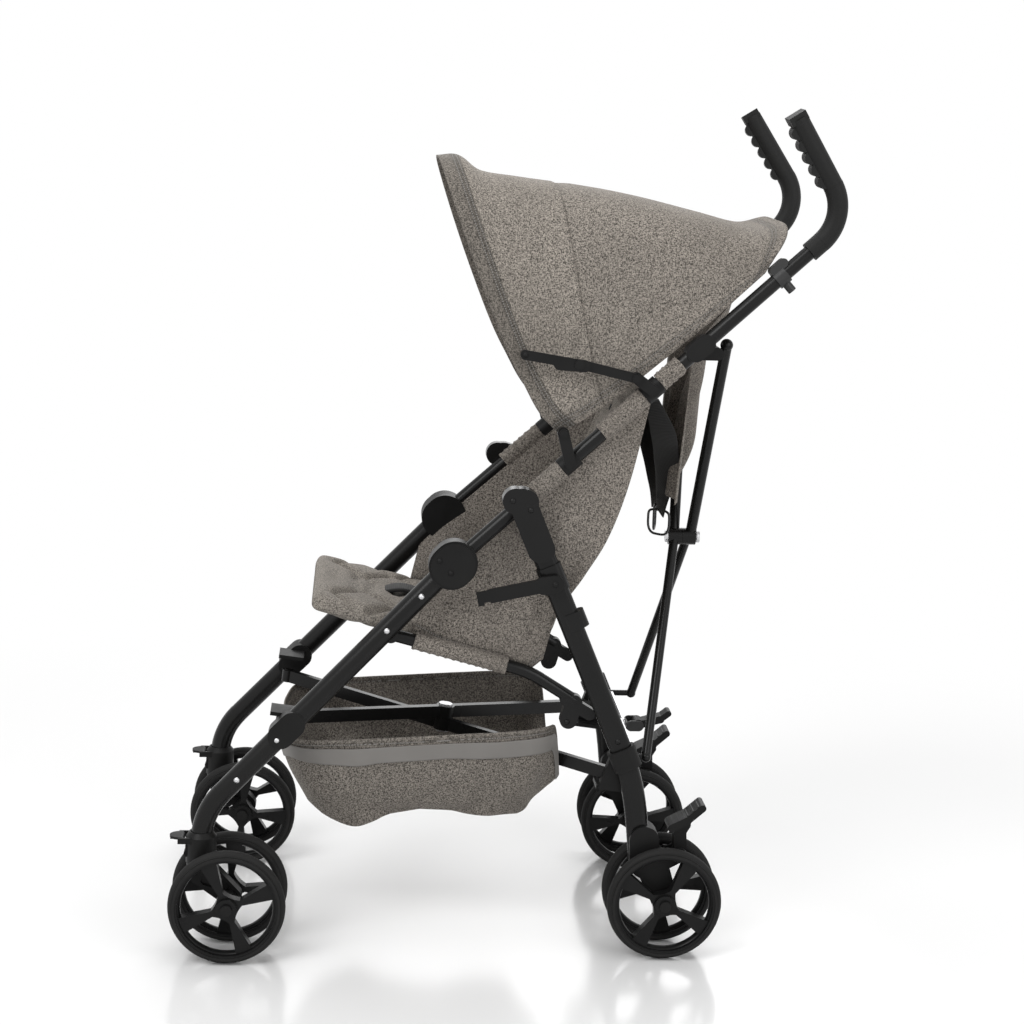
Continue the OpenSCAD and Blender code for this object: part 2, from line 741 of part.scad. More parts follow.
// Closed skin over a grid of points: outer and inner sheet joined along all edges
module skin(outer, inner) {
    n = len(outer);
    m = len(outer[0]);
    pts = concat([for (r = outer) each r], [for (r = inner) each r]);
    o = n * m;
    faces = concat(
        [for (i = [0:n - 2], j = [0:m - 2]) [i * m + j, i * m + j + 1, (i + 1) * m + j + 1]],
        [for (i = [0:n - 2], j = [0:m - 2]) [i * m + j, (i + 1) * m + j + 1, (i + 1) * m + j]],
        [for (i = [0:n - 2], j = [0:m - 2]) [o + i * m + j, o + (i + 1) * m + j + 1, o + i * m + j + 1]],
        [for (i = [0:n - 2], j = [0:m - 2]) [o + i * m + j, o + (i + 1) * m + j, o + (i + 1) * m + j + 1]],
        [for (j = [0:m - 2]) [j, o + j, o + j + 1]],
        [for (j = [0:m - 2]) [j, o + j + 1, j + 1]],
        [for (j = [0:m - 2]) [(n - 1) * m + j, o + (n - 1) * m + j + 1, o + (n - 1) * m + j]],
        [for (j = [0:m - 2]) [(n - 1) * m + j, (n - 1) * m + j + 1, o + (n - 1) * m + j + 1]],
        [for (i = [0:n - 2]) [i * m, o + (i + 1) * m, o + i * m]],
        [for (i = [0:n - 2]) [i * m, (i + 1) * m, o + (i + 1) * m]],
        [for (i = [0:n - 2]) [i * m + m - 1, o + i * m + m - 1, o + (i + 1) * m + m - 1]],
        [for (i = [0:n - 2]) [i * m + m - 1, o + (i + 1) * m + m - 1, (i + 1) * m + m - 1]]
    );
    polyhedron(pts, faces, convexity = 6);
}

seat_front = [-243, 449];
seat_rear = [26, 378];
pad_rows = 20;
pad_cols = 20;

// Seat pad surface: crown, drawn-in sides, sewn lines and tufts
function pad_edge(u) = 1 - 0.06 * pow(abs(2 * u - 1), 4);
function pad_puff(u, v) = let (d1 = abs(sin(180 * (3 * u + 2.5 * v))), d2 = abs(sin(180 * (3 * u - 2.5 * v))))
    3.2 * pow(d1 * d2, 0.4) * (1 - pow(abs(2 * u - 1), 6)) * (1 - pow(abs(v), 6));
function pad_top(u, v, up) = let (
        y = seat_front[0] + (seat_rear[0] - seat_front[0]) * u,
        z = seat_front[1] + (seat_rear[1] - seat_front[1]) * u - 3,
        edge = (1 - pow(abs(v), 8)) * (1 - pow(abs(2 * u - 1), 14))
    ) [v * seat_half * pad_edge(u), y, z - pad_t / 2 + up * (pad_t / 2 * (0.35 + 0.65 * edge) + pad_puff(u, v) * (up > 0 ? 1 : 0.3))];

module seat_pad() {
    color(pad_grey) skin(
        [for (i = [0:pad_rows]) [for (j = [0:pad_cols]) pad_top(i / pad_rows, 2 * j / pad_cols - 1, -1)]],
        [for (i = [0:pad_rows]) [for (j = [0:pad_cols]) pad_top(i / pad_rows, 2 * j / pad_cols - 1, 1)]]
    );
}

sling_x = rail_x - rail_r - gap;
sling_outline = [
    [-120, 420], [-98, 398], [28, 352], [44, 378], [61, 430], [95, 478], [124, 520], [146, 585],
    [160, 650], [170, 700], [140, 670], [60, 592], [0, 536], [-60, 480], [-100, 440]
];

// Side panels of the seat: cloth hung from the handle tube down to the seat rail
module seat_sling() {
    color(cloth_grey) for (s = [-1, 1]) side(s) slab(sling_x - cloth_t, sling_x) polygon(sling_outline);
}

back_low = [44, 384];
back_high = [182, 722];
back_rows = 18;
back_half = sling_x - cloth_t - gap;
function back_line(u) = back_low + (back_high - back_low) * u + 14 * sin(180 * u) * [-0.93, 0.37] * -1;
function back_point(u, v, up) = let (
        c = back_line(u),
        edge = (1 - pow(abs(v), 8)) * (1 - pow(abs(2 * u - 1), 14)),
        puff = 3 * pow(abs(sin(180 * 4 * u)), 0.5) * (1 - pow(abs(v), 6)),
        h = up > 0 ? 9 * (0.35 + 0.65 * edge) + puff : -9 * (0.35 + 0.65 * edge)
    ) [v * back_half, c[0] - h * 0.92, c[1] + h * 0.39];

// Padded backrest
module backrest() {
    color(pad_grey) skin(
        [for (i = [0:back_rows]) [for (j = [0:16]) back_point(i / back_rows, 1 - j / 8, 1)]],
        [for (i = [0:back_rows]) [for (j = [0:16]) back_point(i / back_rows, 1 - j / 8, -1)]]
    );
}

// Shoulder straps on the backrest and crotch strap with its pad on the seat
module harness() {
    color(plastic_black) {
        for (x = [-52, 52]) strap([for (i = [0:8]) let (u = 0.12 + 0.09 * i, c = back_line(u))
            [x, c[0] - 11.4, c[1] + 4.8]], 26, 2, [0, -0.93, 0.37]);
        strap([for (i = [0:6]) let (u = 0.22 + 0.09 * i)
            [0, seat_front[0] + 269 * u, seat_front[1] - 71 * u + 0.8]], 34, 3, [0, 0.25, 0.97]);
    }
}

// Flat webbing along points, of a given width along X, thickened along n
module strap(points, width, thick, n) {
    skin(
        [for (p = points) [p + [-width / 2, 0, 0], p + [width / 2, 0, 0]]],
        [for (p = points) [p + [-width / 2, 0, 0] + thick * n, p + [width / 2, 0, 0] + thick * n]]
    );
}

// Recline straps behind the backrest, with wire rings at their joined end
module recline_straps() {
    top = [192, 690];
    low = [204, 536];
    color(plastic_black) {
        for (s = [-1, 1]) skin(
            [for (i = [0:6]) let (u = i / 6, c = top + (low - top) * u, x = s * (112 - 92 * u))
                [[x - 15, c[0], c[1]], [x + 15, c[0], c[1]]]],
            [for (i = [0:6]) let (u = i / 6, c = top + (low - top) * u, x = s * (112 - 92 * u))
                [[x - 15, c[0] + 1.8, c[1]], [x + 15, c[0] + 1.8, c[1]]]]
        );
        for (s = [-1, 1]) translate([s * 20, low[0] + 1, low[1] - 8.5]) rotate([90, 0, 0]) rotate_extrude()
            translate([12, 0]) circle(r = 1.6);
        translate([-6, 184, 682]) cube([12, 8, 14]);
        for (s = [-1, 1]) translate([s * 112 - 14, 180, 684]) cube([28, 12, 10]);
    }
}

// Canopy surface: u runs from the front brim to the rear edge, v over the arch
canopy_top = [[-93, 989], [-66, 990], [-38, 972], [13, 966], [90, 957], [167, 945], [245, 927], [303, 914], [342, 921]];
canopy_low = [[60, 661], [62, 663.5], [70, 668], [95, 683], [130, 708], [178, 748], [235, 796], [278, 836], [306, 862]];
function pick(list, u) = let (n = len(list) - 1, t = min(n - 0.0001, max(0, u * n)), i = floor(t), f = t - i)
    list[i] + (list[i + 1] - list[i]) * f;
function canopy_point(u, v, g) = let (
        top = pick(canopy_top, u) - [0, g],
        low = pick(canopy_low, u),
        a = 90 * v,
        c = pow(abs(cos(a)), 0.62),
        side_y = low[0] + (top[0] - low[0]) * pow(c, 0.7 + 0.3 * u),
        x = (canopy_half - g - 22 * u) * sign(a) * pow(abs(sin(a)), 0.5)
    ) [x, side_y, low[1] + (top[1] - low[1]) * c];

module canopy_part(u0, u1, rows, g) {
    skin(
        [for (i = [0:rows]) [for (j = [0:28]) canopy_point(u0 + (u1 - u0) * i / rows, 1 - j / 14, g)]],
        [for (i = [0:rows]) [for (j = [0:28]) canopy_point(u0 + (u1 - u0) * i / rows, 1 - j / 14, g + cloth_t)]]
    );
}

// Front half of the hood, with the spring bow in its brim
module canopy_front() {
    color(cloth_grey) canopy_part(0, 0.44, 10, 0);
    canopy_bow();
}

// Rear half of the hood, with the flap that hangs from it
module canopy_rear() {
    color(cloth_grey) canopy_part(0.45, 1, 10, 0);
    rear_flap();
}

// Spring bow that carries the front of the canopy, inside the brim: a round wire along its arch
bow_r = 3.5;
bow_n = 24;
bow_sides = 8;
function bow_point(j) = canopy_point(0.09, 1 - 2 * j / bow_n, cloth_t + bow_r + gap);
function bow_ring(j) = let (
        d = bow_point(min(bow_n, j + 1)) - bow_point(max(0, j - 1)),
        t = d / norm(d),
        a = cross(t, [0, 1, 0]),
        n = a / norm(a),
        b = cross(t, n)
    ) [for (k = [0:bow_sides - 1]) bow_point(j) + bow_r * (cos(360 * k / bow_sides) * n + sin(360 * k / bow_sides) * b)];

module canopy_bow() {
    m = bow_sides;
    pts = [for (j = [0:bow_n]) each bow_ring(j)];
    faces = concat(
        [for (j = [0:bow_n - 1], k = [0:m - 1]) [j * m + k, (j + 1) * m + k, (j + 1) * m + (k + 1) % m]],
        [for (j = [0:bow_n - 1], k = [0:m - 1]) [j * m + k, (j + 1) * m + (k + 1) % m, j * m + (k + 1) % m]],
        [[for (k = [0:m - 1]) k]],
        [[for (k = [0:m - 1]) bow_n * m + m - 1 - k]]
    );
    color(plastic_black) polyhedron(pts, faces, convexity = 6);
}

// Basket: cloth tub hung between the legs, open at the top
basket_y = [-279, 82];
function basket_point(a, h, g) = let (
        cy = (basket_y[0] + basket_y[1]) / 2,
        half_y = (basket_y[1] - basket_y[0]) / 2 - g - 34 * pow(1 - h, 1.6),
        half_x = 156 - g - 30 * pow(1 - h, 1.8),
        x = half_x * sign(cos(a)) * pow(abs(cos(a)), 0.35),
        y = cy + half_y * sign(sin(a)) * pow(abs(sin(a)), 0.35),
        rim = abs(x) > 147 - 30 * (1 - h) ? 268 + (y - basket_y[0]) * 0.05 : 256 - (y - basket_y[0]) * 0.125,
        low = 152 + 6 * sin(a * 3) + g
    ) [x, y, low + (rim - low) * h];

module basket() {
    rows = 7;
    cols = 48;
    outer = [for (i = [0:rows]) [for (j = [0:cols - 1]) basket_point(360 * j / cols, i / rows, 0)]];
    inner = [for (i = [0:rows]) [for (j = [0:cols - 1]) basket_point(360 * j / cols, i / rows, cloth_t)]];
    o = (rows + 1) * cols;
    pts = concat([for (r = outer) each r], [for (r = inner) each r], [[0, -98, 150], [0, -98, 150 + cloth_t]]);
    c = 2 * o;
    faces = concat(
        [for (i = [0:rows - 1], j = [0:cols - 1]) let (k = (j + 1) % cols) [i * cols + j, (i + 1) * cols + k, i * cols + k]],
        [for (i = [0:rows - 1], j = [0:cols - 1]) let (k = (j + 1) % cols) [i * cols + j, (i + 1) * cols + j, (i + 1) * cols + k]],
        [for (i = [0:rows - 1], j = [0:cols - 1]) let (k = (j + 1) % cols) [o + i * cols + j, o + i * cols + k, o + (i + 1) * cols + k]],
        [for (i = [0:rows - 1], j = [0:cols - 1]) let (k = (j + 1) % cols) [o + i * cols + j, o + (i + 1) * cols + k, o + (i + 1) * cols + j]],
        [for (j = [0:cols - 1]) let (k = (j + 1) % cols) [rows * cols + j, o + rows * cols + j, o + rows * cols + k]],
        [for (j = [0:cols - 1]) let (k = (j + 1) % cols) [rows * cols + j, o + rows * cols + k, rows * cols + k]],
        [for (j = [0:cols - 1]) let (k = (j + 1) % cols) [c, j, k]],
        [for (j = [0:cols - 1]) let (k = (j + 1) % cols) [c + 1, o + k, o + j]]
    );
    color(cloth_grey) {
        polyhedron(pts, faces, convexity = 8);
        for (s = [-1, 1]) side(s) {
            translate([108, basket_y[0] - 21, 243]) cube([59.6, 30, 7]);
            translate([150, basket_y[1] - 72, 246]) cube([6, 125.4, 8]);
        }
    }
}

// Cloth flap that hangs behind the backrest
module rear_flap() {
    function flap(u, v, g) = [v * (106 - 12 * u * u), 236 - 24 * u + 3 * sin(v * 540) * u + g, 838 - 258 * u - 18 * u * abs(v)];
    color(cloth_grey) skin(
        [for (i = [0:9]) [for (j = [0:18]) flap(i / 9, j / 9 - 1, 0)]],
        [for (i = [0:9]) [for (j = [0:18]) flap(i / 9, j / 9 - 1, cloth_t)]]
    );
}

front_leg(1);  // front_leg_left
front_leg(-1);  // front_leg_right
elbow_cover(1);  // elbow_cover_left
elbow_cover(-1);  // elbow_cover_right
handle_tube(1);  // handle_tube_left
handle_tube(-1);  // handle_tube_right
grip(1);  // grip_left
grip(-1);  // grip_right
seat_rail(1);  // seat_rail_left
seat_rail(-1);  // seat_rail_right
frame_brackets(1);  // frame_brackets_left
frame_brackets(-1);  // frame_brackets_right
frame_rivets(1);  // frame_rivets_left
frame_rivets(-1);  // frame_rivets_right
caster_housing(1);  // caster_housing_left
caster_housing(-1);  // caster_housing_right
swivel_lock(1);  // swivel_lock_left
swivel_lock(-1);  // swivel_lock_right
caster_fork(1);  // caster_fork_left
caster_fork(-1);  // caster_fork_right
wheel_at(1, swivel_x + front_pitch / 2, front_axle_y, 67);  // front_wheel_outer_left
wheel_at(-1, swivel_x + front_pitch / 2, front_axle_y, 67);  // front_wheel_outer_right
wheel_at(1, swivel_x - front_pitch / 2, front_axle_y, 40);  // front_wheel_inner_left
wheel_at(-1, swivel_x - front_pitch / 2, front_axle_y, 40);  // front_wheel_inner_right
rear_leg(1);  // rear_leg_left
rear_leg(-1);  // rear_leg_right
leg_bracket(1);  // leg_bracket_left
leg_bracket(-1);  // leg_bracket_right
rear_hub(1);  // rear_hub_left
rear_hub(-1);  // rear_hub_right
brake_pedal(1);  // brake_pedal_left
brake_pedal(-1);  // brake_pedal_right
wheel_at(1, hub_x + rear_pitch / 2, rear_axle_y, 14);  // rear_wheel_outer_left
wheel_at(-1, hub_x + rear_pitch / 2, rear_axle_y, 14);  // rear_wheel_outer_right
wheel_at(1, hub_x - rear_pitch / 2, rear_axle_y, 52);  // rear_wheel_inner_left
wheel_at(-1, hub_x - rear_pitch / 2, rear_axle_y, 52);  // rear_wheel_inner_right
fold_hook(1);  // fold_hook_left
fold_hook(-1);  // fold_hook_right
strut_front_arm(1);  // strut_front_left
strut_front_arm(-1);  // strut_front_right
strut_rear_arm(1);  // strut_rear_left
strut_rear_arm(-1);  // strut_rear_right
under_bar(1);  // under_bar_left
under_bar(-1);  // under_bar_right
rear_cross(1);  // rear_cross_left
rear_cross(-1);  // rear_cross_right
brace_link(1);  // brace_link_left
brace_link(-1);  // brace_link_right
seat_bolt();
cross_bolt();
brace_bolt();
foot_lever();
seat_pad();
seat_sling();
backrest();
harness();
recline_straps();
canopy_front();
canopy_rear();
basket();
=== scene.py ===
import math
import bpy
import numpy as np
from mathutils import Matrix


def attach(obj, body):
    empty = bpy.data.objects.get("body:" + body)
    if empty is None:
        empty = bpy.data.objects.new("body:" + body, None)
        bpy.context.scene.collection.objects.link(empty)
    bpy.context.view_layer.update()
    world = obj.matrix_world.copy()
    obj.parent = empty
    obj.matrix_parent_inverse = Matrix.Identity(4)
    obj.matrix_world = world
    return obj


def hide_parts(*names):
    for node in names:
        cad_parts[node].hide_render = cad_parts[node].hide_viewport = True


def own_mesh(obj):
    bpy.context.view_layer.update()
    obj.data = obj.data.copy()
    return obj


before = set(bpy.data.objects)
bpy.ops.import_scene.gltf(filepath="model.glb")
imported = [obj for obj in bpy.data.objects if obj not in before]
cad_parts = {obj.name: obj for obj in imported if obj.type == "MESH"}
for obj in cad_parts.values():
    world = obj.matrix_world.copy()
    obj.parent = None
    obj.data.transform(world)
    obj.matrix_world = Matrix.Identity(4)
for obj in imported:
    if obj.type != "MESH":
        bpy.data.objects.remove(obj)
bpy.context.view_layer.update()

# Camera
# The camera stands on the child's left side, a little in front, and looks slightly down.
# Its place, turn and lens come from the wheel axles, the tubes and the floor line.
yaw, pitch, roll = np.radians([4.09, 10.30, 1.81])
ahead = np.array([-np.cos(yaw) * np.cos(pitch), np.sin(yaw) * np.cos(pitch), -np.sin(pitch)])
level = np.array([np.sin(yaw), np.cos(yaw), 0.0])
upright = np.cross(level, ahead)
right = np.cos(roll) * level + np.sin(roll) * upright
up = -np.sin(roll) * level + np.cos(roll) * upright
eye = bpy.data.objects.new("eye", bpy.data.cameras.new("eye"))
eye.data.lens = 77.94
eye.data.sensor_width = 36
eye.location = (2.838, -0.187, 1.050)
eye.rotation_euler = (math.atan2(up[2], -ahead[2]), -math.asin(right[2]), math.atan2(right[1], right[0]))
bpy.context.collection.objects.link(eye)
bpy.context.scene.camera = eye
bpy.context.scene.view_settings.view_transform = "Standard"


# Studio
# A pale glossy table top that fades into white, with four large soft lamps round it.
class Wire:
    """A shader socket on which + - and * add Math nodes."""

    def __init__(self, tree, socket):
        self.tree, self.socket = tree, socket

    def maths(self, operation, a, b):
        node = self.tree.nodes.new("ShaderNodeMath")
        node.operation = operation
        for slot, value in zip(node.inputs, (a, b)):
            if isinstance(value, Wire):
                self.tree.links.new(value.socket, slot)
            else:
                slot.default_value = value
        return Wire(self.tree, node.outputs[0])

    def __add__(self, other):
        return self.maths("ADD", self, other)

    def __sub__(self, other):
        return self.maths("SUBTRACT", self, other)

    def __rsub__(self, other):
        return self.maths("SUBTRACT", other, self)

    def __mul__(self, other):
        return self.maths("MULTIPLY", self, other)

    __radd__ = __add__
    __rmul__ = __mul__


class Finish:
    """A material that is put together from nodes."""

    def __init__(self, name):
        self.material = bpy.data.materials.new(name)
        self.material.use_nodes = True
        self.tree = self.material.node_tree
        self.tree.nodes.clear()

    def node(self, kind, settings=None, sockets=None, out=0):
        """Adds one node: its settings come first, then its socket values or links."""
        node = self.tree.nodes.new("ShaderNode" + kind)
        for name, value in (settings or {}).items():
            if name == "stops":
                ramp = node.color_ramp.elements
                while len(ramp) < len(value):
                    ramp.new(0.5)
                for stop, (place, shade) in zip(ramp, value):
                    stop.position = place
                    stop.color = (*shade, 1) if isinstance(shade, tuple) else (shade, shade, shade, 1)
            else:
                setattr(node, name, value)
        for name, value in (sockets or {}).items():
            if isinstance(value, Wire):
                self.tree.links.new(value.socket, node.inputs[name])
            else:
                node.inputs[name].default_value = value
        return Wire(self.tree, node.outputs[out]) if len(node.outputs) else None

    def place(self):
        """Object coordinates, in metres."""
        return self.node("TexCoord", out="Object")

    def noise(self, scale, detail=2.0, stretch=(1, 1, 1), rough=0.5):
        """Noise over the object, stretched by scaling its coordinates."""
        spot = self.node("Mapping", sockets={"Vector": self.place(), "Scale": stretch})
        return self.node("TexNoise", sockets={"Vector": spot, "Scale": scale, "Detail": detail,
                                              "Roughness": rough})

    def ramp(self, value, low, high, a=0.0, b=1.0):
        """Runs from a to b as the value goes from low to high."""
        return self.node("MapRange", {"interpolation_type": "SMOOTHSTEP"},
                         {"Value": value, "From Min": low, "From Max": high, "To Min": a, "To Max": b})

    def mix(self, factor, a, b):
        """A colour between a and b."""
        four = [(*c, 1) if isinstance(c, tuple) and len(c) == 3 else c for c in (a, b)]
        node = self.tree.nodes.new("ShaderNodeMix")
        node.data_type = "RGBA"
        for socket, value in zip((node.inputs[0], node.inputs[6], node.inputs[7]), (factor, *four)):
            if isinstance(value, Wire):
                self.tree.links.new(value.socket, socket)
            else:
                socket.default_value = value
        return Wire(self.tree, node.outputs[2])

    def bump(self, height, distance, strength=1.0):
        return self.node("Bump", sockets={"Height": height, "Distance": distance, "Strength": strength})

    def surface(self, **sockets):
        """Closes the material with a Principled BSDF; underscores in names stand for spaces."""
        named = {name.replace("_", " "): value for name, value in sockets.items()}
        named = {k: (*v, 1) if isinstance(v, tuple) and len(v) == 3 else v for k, v in named.items()}
        shader = self.node("BsdfPrincipled", sockets=named)
        self.node("OutputMaterial", sockets={"Surface": shader})
        return self.material


def sheet_mesh(name, points, wrap_u=False, wrap_v=False, caps=False):
    """A grid of points as quads: rows run along u and columns along v, each closed if asked."""
    rows, cols = points.shape[:2]
    i = np.arange(rows if wrap_u else rows - 1)[:, None]
    j = np.arange(cols if wrap_v else cols - 1)[None, :]
    a = i * cols + j
    b = ((i + 1) % rows) * cols + j
    c = ((i + 1) % rows) * cols + (j + 1) % cols
    d = i * cols + (j + 1) % cols
    quads = np.stack([a, b, c, d], axis=-1).reshape(-1, 4).tolist()
    if caps:
        quads.append(list(range(cols))[::-1] if wrap_v else [])
        quads.append([(rows - 1) * cols + k for k in range(cols)])
    mesh = bpy.data.meshes.new(name)
    mesh.from_pydata(points.reshape(-1, 3).tolist(), [], quads)
    mesh.update()
    mesh.polygons.foreach_set("use_smooth", np.ones(len(mesh.polygons), dtype=bool))
    obj = bpy.data.objects.new(name, mesh)
    bpy.context.collection.objects.link(obj)
    return obj


floor_reach = 14.0
fade_from, fade_to = 0.75, 1.6
side = np.linspace(-floor_reach, floor_reach, 3)
ground = sheet_mesh("ground", np.stack([*np.meshgrid(side, -side, indexing="xy"), np.zeros((3, 3))], -1))
gloss = Finish("ground_gloss")
spot = gloss.node("Mapping", sockets={"Vector": gloss.place(), "Scale": (1, 0.8, 0)})
far = gloss.node("VectorMath", {"operation": "LENGTH"}, {0: spot}, out="Value")
fade = gloss.ramp(far, fade_from, fade_to)
lacquer = gloss.node("BsdfPrincipled", sockets={
    "Base Color": (0.93, 0.93, 0.93, 1), "Roughness": 0.16, "Specular IOR Level": 0.55})
white = gloss.node("Emission", sockets={"Color": (1, 1, 1, 1), "Strength": 1.0})
both = gloss.node("MixShader", sockets={0: fade, 1: lacquer, 2: white})
gloss.node("OutputMaterial", sockets={"Surface": both})
ground.data.materials.append(gloss.material)

world = bpy.data.worlds.new("studio")
bpy.context.scene.world = world
world.use_nodes = True
sky = world.node_tree
sky.nodes.clear()
seen = sky.nodes.new("ShaderNodeLightPath")
dim, bright = sky.nodes.new("ShaderNodeBackground"), sky.nodes.new("ShaderNodeBackground")
dim.inputs["Color"].default_value = (1, 1, 1, 1)
dim.inputs["Strength"].default_value = 0.50
bright.inputs["Color"].default_value = (1, 1, 1, 1)
pick = sky.nodes.new("ShaderNodeMixShader")
shown = sky.nodes.new("ShaderNodeMath")
shown.operation = "MAXIMUM"
through = sky.nodes.new("ShaderNodeMath")
through.operation = "MAXIMUM"
sky.links.new(seen.outputs["Is Camera Ray"], shown.inputs[0])
sky.links.new(seen.outputs["Is Transmission Ray"], shown.inputs[1])
sky.links.new(shown.outputs[0], through.inputs[0])
sky.links.new(seen.outputs["Is Glossy Ray"], through.inputs[1])
sky.links.new(through.outputs[0], pick.inputs[0])
sky.links.new(dim.outputs[0], pick.inputs[1])
sky.links.new(bright.outputs[0], pick.inputs[2])
sky.links.new(pick.outputs[0], sky.nodes.new("ShaderNodeOutputWorld").inputs["Surface"])

for name, spot, size, power in (
        ("key_lamp", (1.9, -1.6, 2.6), 1.8, 44),
        ("fill_lamp", (2.4, 1.9, 1.6), 2.0, 22),
        ("top_lamp", (-0.4, 0.1, 3.0), 2.4, 30),
        ("back_lamp", (-2.4, 0.4, 1.8), 2.0, 16)):
    lamp = bpy.data.objects.new(name, bpy.data.lights.new(name, "AREA"))
    lamp.data.shape = "DISK"
    lamp.data.size = size
    lamp.data.energy = power
    lamp.location = spot
    aim = np.array([0, 0, 0.5]) - np.array(spot)
    flat = math.hypot(aim[0], aim[1])
    lamp.rotation_euler = (math.atan2(flat, -aim[2]), 0, math.atan2(aim[1], aim[0]) - math.pi / 2)
    bpy.context.collection.objects.link(lamp)


# Tubes
# Legs, handles, seat rails, under-seat bars and crossed tubes: aluminium tube with satin black powder
# coat, which shows a fine orange-peel grain. The solids keep their shape and get this paint.
def dress(names, material):
    """Gives carried-over solids their material."""
    for name in names:
        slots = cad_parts[name].data.materials
        slots.clear()
        slots.append(material)


def both_sides(*names):
    return [f"{name}_{end}" for name in names for end in ("left", "right")]


tube_lean, tube_slope = math.radians(2.9), math.radians(42.6)
foot_x, foot_z = 0.186, 0.150
elbow_y, elbow_z = -0.067, 0.498


def tube_side(z):
    """Distance of a side frame's tube from the middle at height z: the frame leans inwards."""
    return foot_x - (z - foot_z) * math.tan(tube_lean)


paint = Finish("powder_coat")
peel = paint.noise(420, 2)
cloudy = paint.noise(9, 3)
tube_paint = paint.surface(
    Base_Color=paint.mix(cloudy, (0.005, 0.005, 0.005), (0.010, 0.0098, 0.0095)),
    Roughness=paint.ramp(cloudy, 0.3, 0.7, 0.22, 0.30),
    Normal=paint.bump(peel, 0.00010, 0.4), Specular_IOR_Level=0.2)
dress(both_sides("front_leg", "handle_tube", "seat_rail", "rear_leg", "under_bar", "rear_cross"), tube_paint)

# Moulded parts
# Joints, housings, forks, hubs and levers: black glass-filled nylon from a mould with a fine
# sparked texture, a little greyer where it is rubbed.
nylon = Finish("moulded_nylon")
spark = nylon.noise(1500, 2)
shade = nylon.noise(22, 3)
nylon_black = nylon.surface(
    Base_Color=nylon.mix(shade, (0.006, 0.006, 0.006), (0.013, 0.0128, 0.0125)),
    Roughness=nylon.ramp(shade, 0.3, 0.7, 0.38, 0.50),
    Normal=nylon.bump(spark, 0.00015, 0.6), Specular_IOR_Level=0.14)
dress(both_sides("elbow_cover", "frame_brackets", "caster_housing", "swivel_lock", "caster_fork",
                 "leg_bracket", "rear_hub", "brake_pedal", "fold_hook", "strut_front", "strut_rear"),
      nylon_black)
dress(["foot_lever"], nylon_black)

# Wheels
# Spoked plastic wheels with a foam tyre: the tread is duller and a shade lighter than the glossy
# spokes, so roughness and colour change with the distance from the axle.
wheel_r, tread_deep = 0.0725, 0.0105
for wheel, axle_y in (("front_wheel_outer", -0.337), ("front_wheel_inner", -0.337),
                      ("rear_wheel_outer", 0.209), ("rear_wheel_inner", 0.209)):
    rim = Finish(wheel + "_plastic")
    hub = rim.node("Mapping", sockets={"Vector": rim.place(), "Location": (0, -axle_y, -wheel_r),
                                       "Scale": (0, 1, 1)})
    out = rim.node("VectorMath", {"operation": "LENGTH"}, {0: hub}, out="Value")
    tread = rim.ramp(out, wheel_r - tread_deep - 0.0005, wheel_r - tread_deep + 0.0005)
    pores = rim.noise(900, 3)
    smudge = rim.noise(26, 4)
    wheel_black = rim.surface(
        Base_Color=rim.mix(tread, rim.mix(smudge, (0.005, 0.005, 0.005), (0.011, 0.011, 0.011)),
                           rim.mix(smudge, (0.010, 0.010, 0.010), (0.024, 0.0235, 0.023))),
        Roughness=rim.ramp(tread, 0, 1, 0.30, 0.66) + rim.ramp(smudge, 0.3, 0.7, -0.04, 0.05),
        Specular_IOR_Level=0.15,
        Normal=rim.bump(pores * tread, 0.0004, 0.5))
    dress(both_sides(wheel), wheel_black)

# Rivets and links
# Domed rivets, bolts and the brace links: zinc-plated steel, brushed along the strip. The clip and
# the hinge pins higher up belong to the same nodes and are black, and so is the lever's fork.
zinc = Finish("zinc_steel")
brushed = zinc.noise(300, 3, (1, 1, 12))
spot = zinc.node("SeparateXYZ", sockets={"Vector": zinc.place()}, out="Z")
deep = zinc.node("SeparateXYZ", sockets={"Vector": zinc.place()}, out="Y")
dark = zinc.ramp(spot, 0.530, 0.535) + zinc.ramp(deep, 0.1752, 0.1756) * zinc.ramp(spot, 0.272, 0.268)
bright = 1 - dark
plated = zinc.mix(brushed, (0.50, 0.50, 0.51), (0.66, 0.66, 0.67))
steel = zinc.surface(
    Base_Color=zinc.mix(dark, plated, (0.008, 0.008, 0.008)),
    Metallic=bright, Roughness=zinc.ramp(brushed, 0.3, 0.7, 0.26, 0.40) + dark * 0.14,
    Normal=zinc.bump(brushed, 0.0001, 0.4))
dress(both_sides("brace_link", "frame_rivets") + ["seat_bolt", "cross_bolt", "brace_bolt"], steel)

# Grips
# Closed-cell foam grips, fine-pored and quite dull.
foam = Finish("grip_foam")
pore = foam.noise(1100, 2)
grip_foam = foam.surface(
    Base_Color=foam.mix(pore, (0.006, 0.006, 0.006), (0.013, 0.013, 0.0125)),
    Specular_IOR_Level=0.2, Roughness=0.55, Normal=foam.bump(pore, 0.0003, 0.5))
dress(both_sides("grip"), grip_foam)

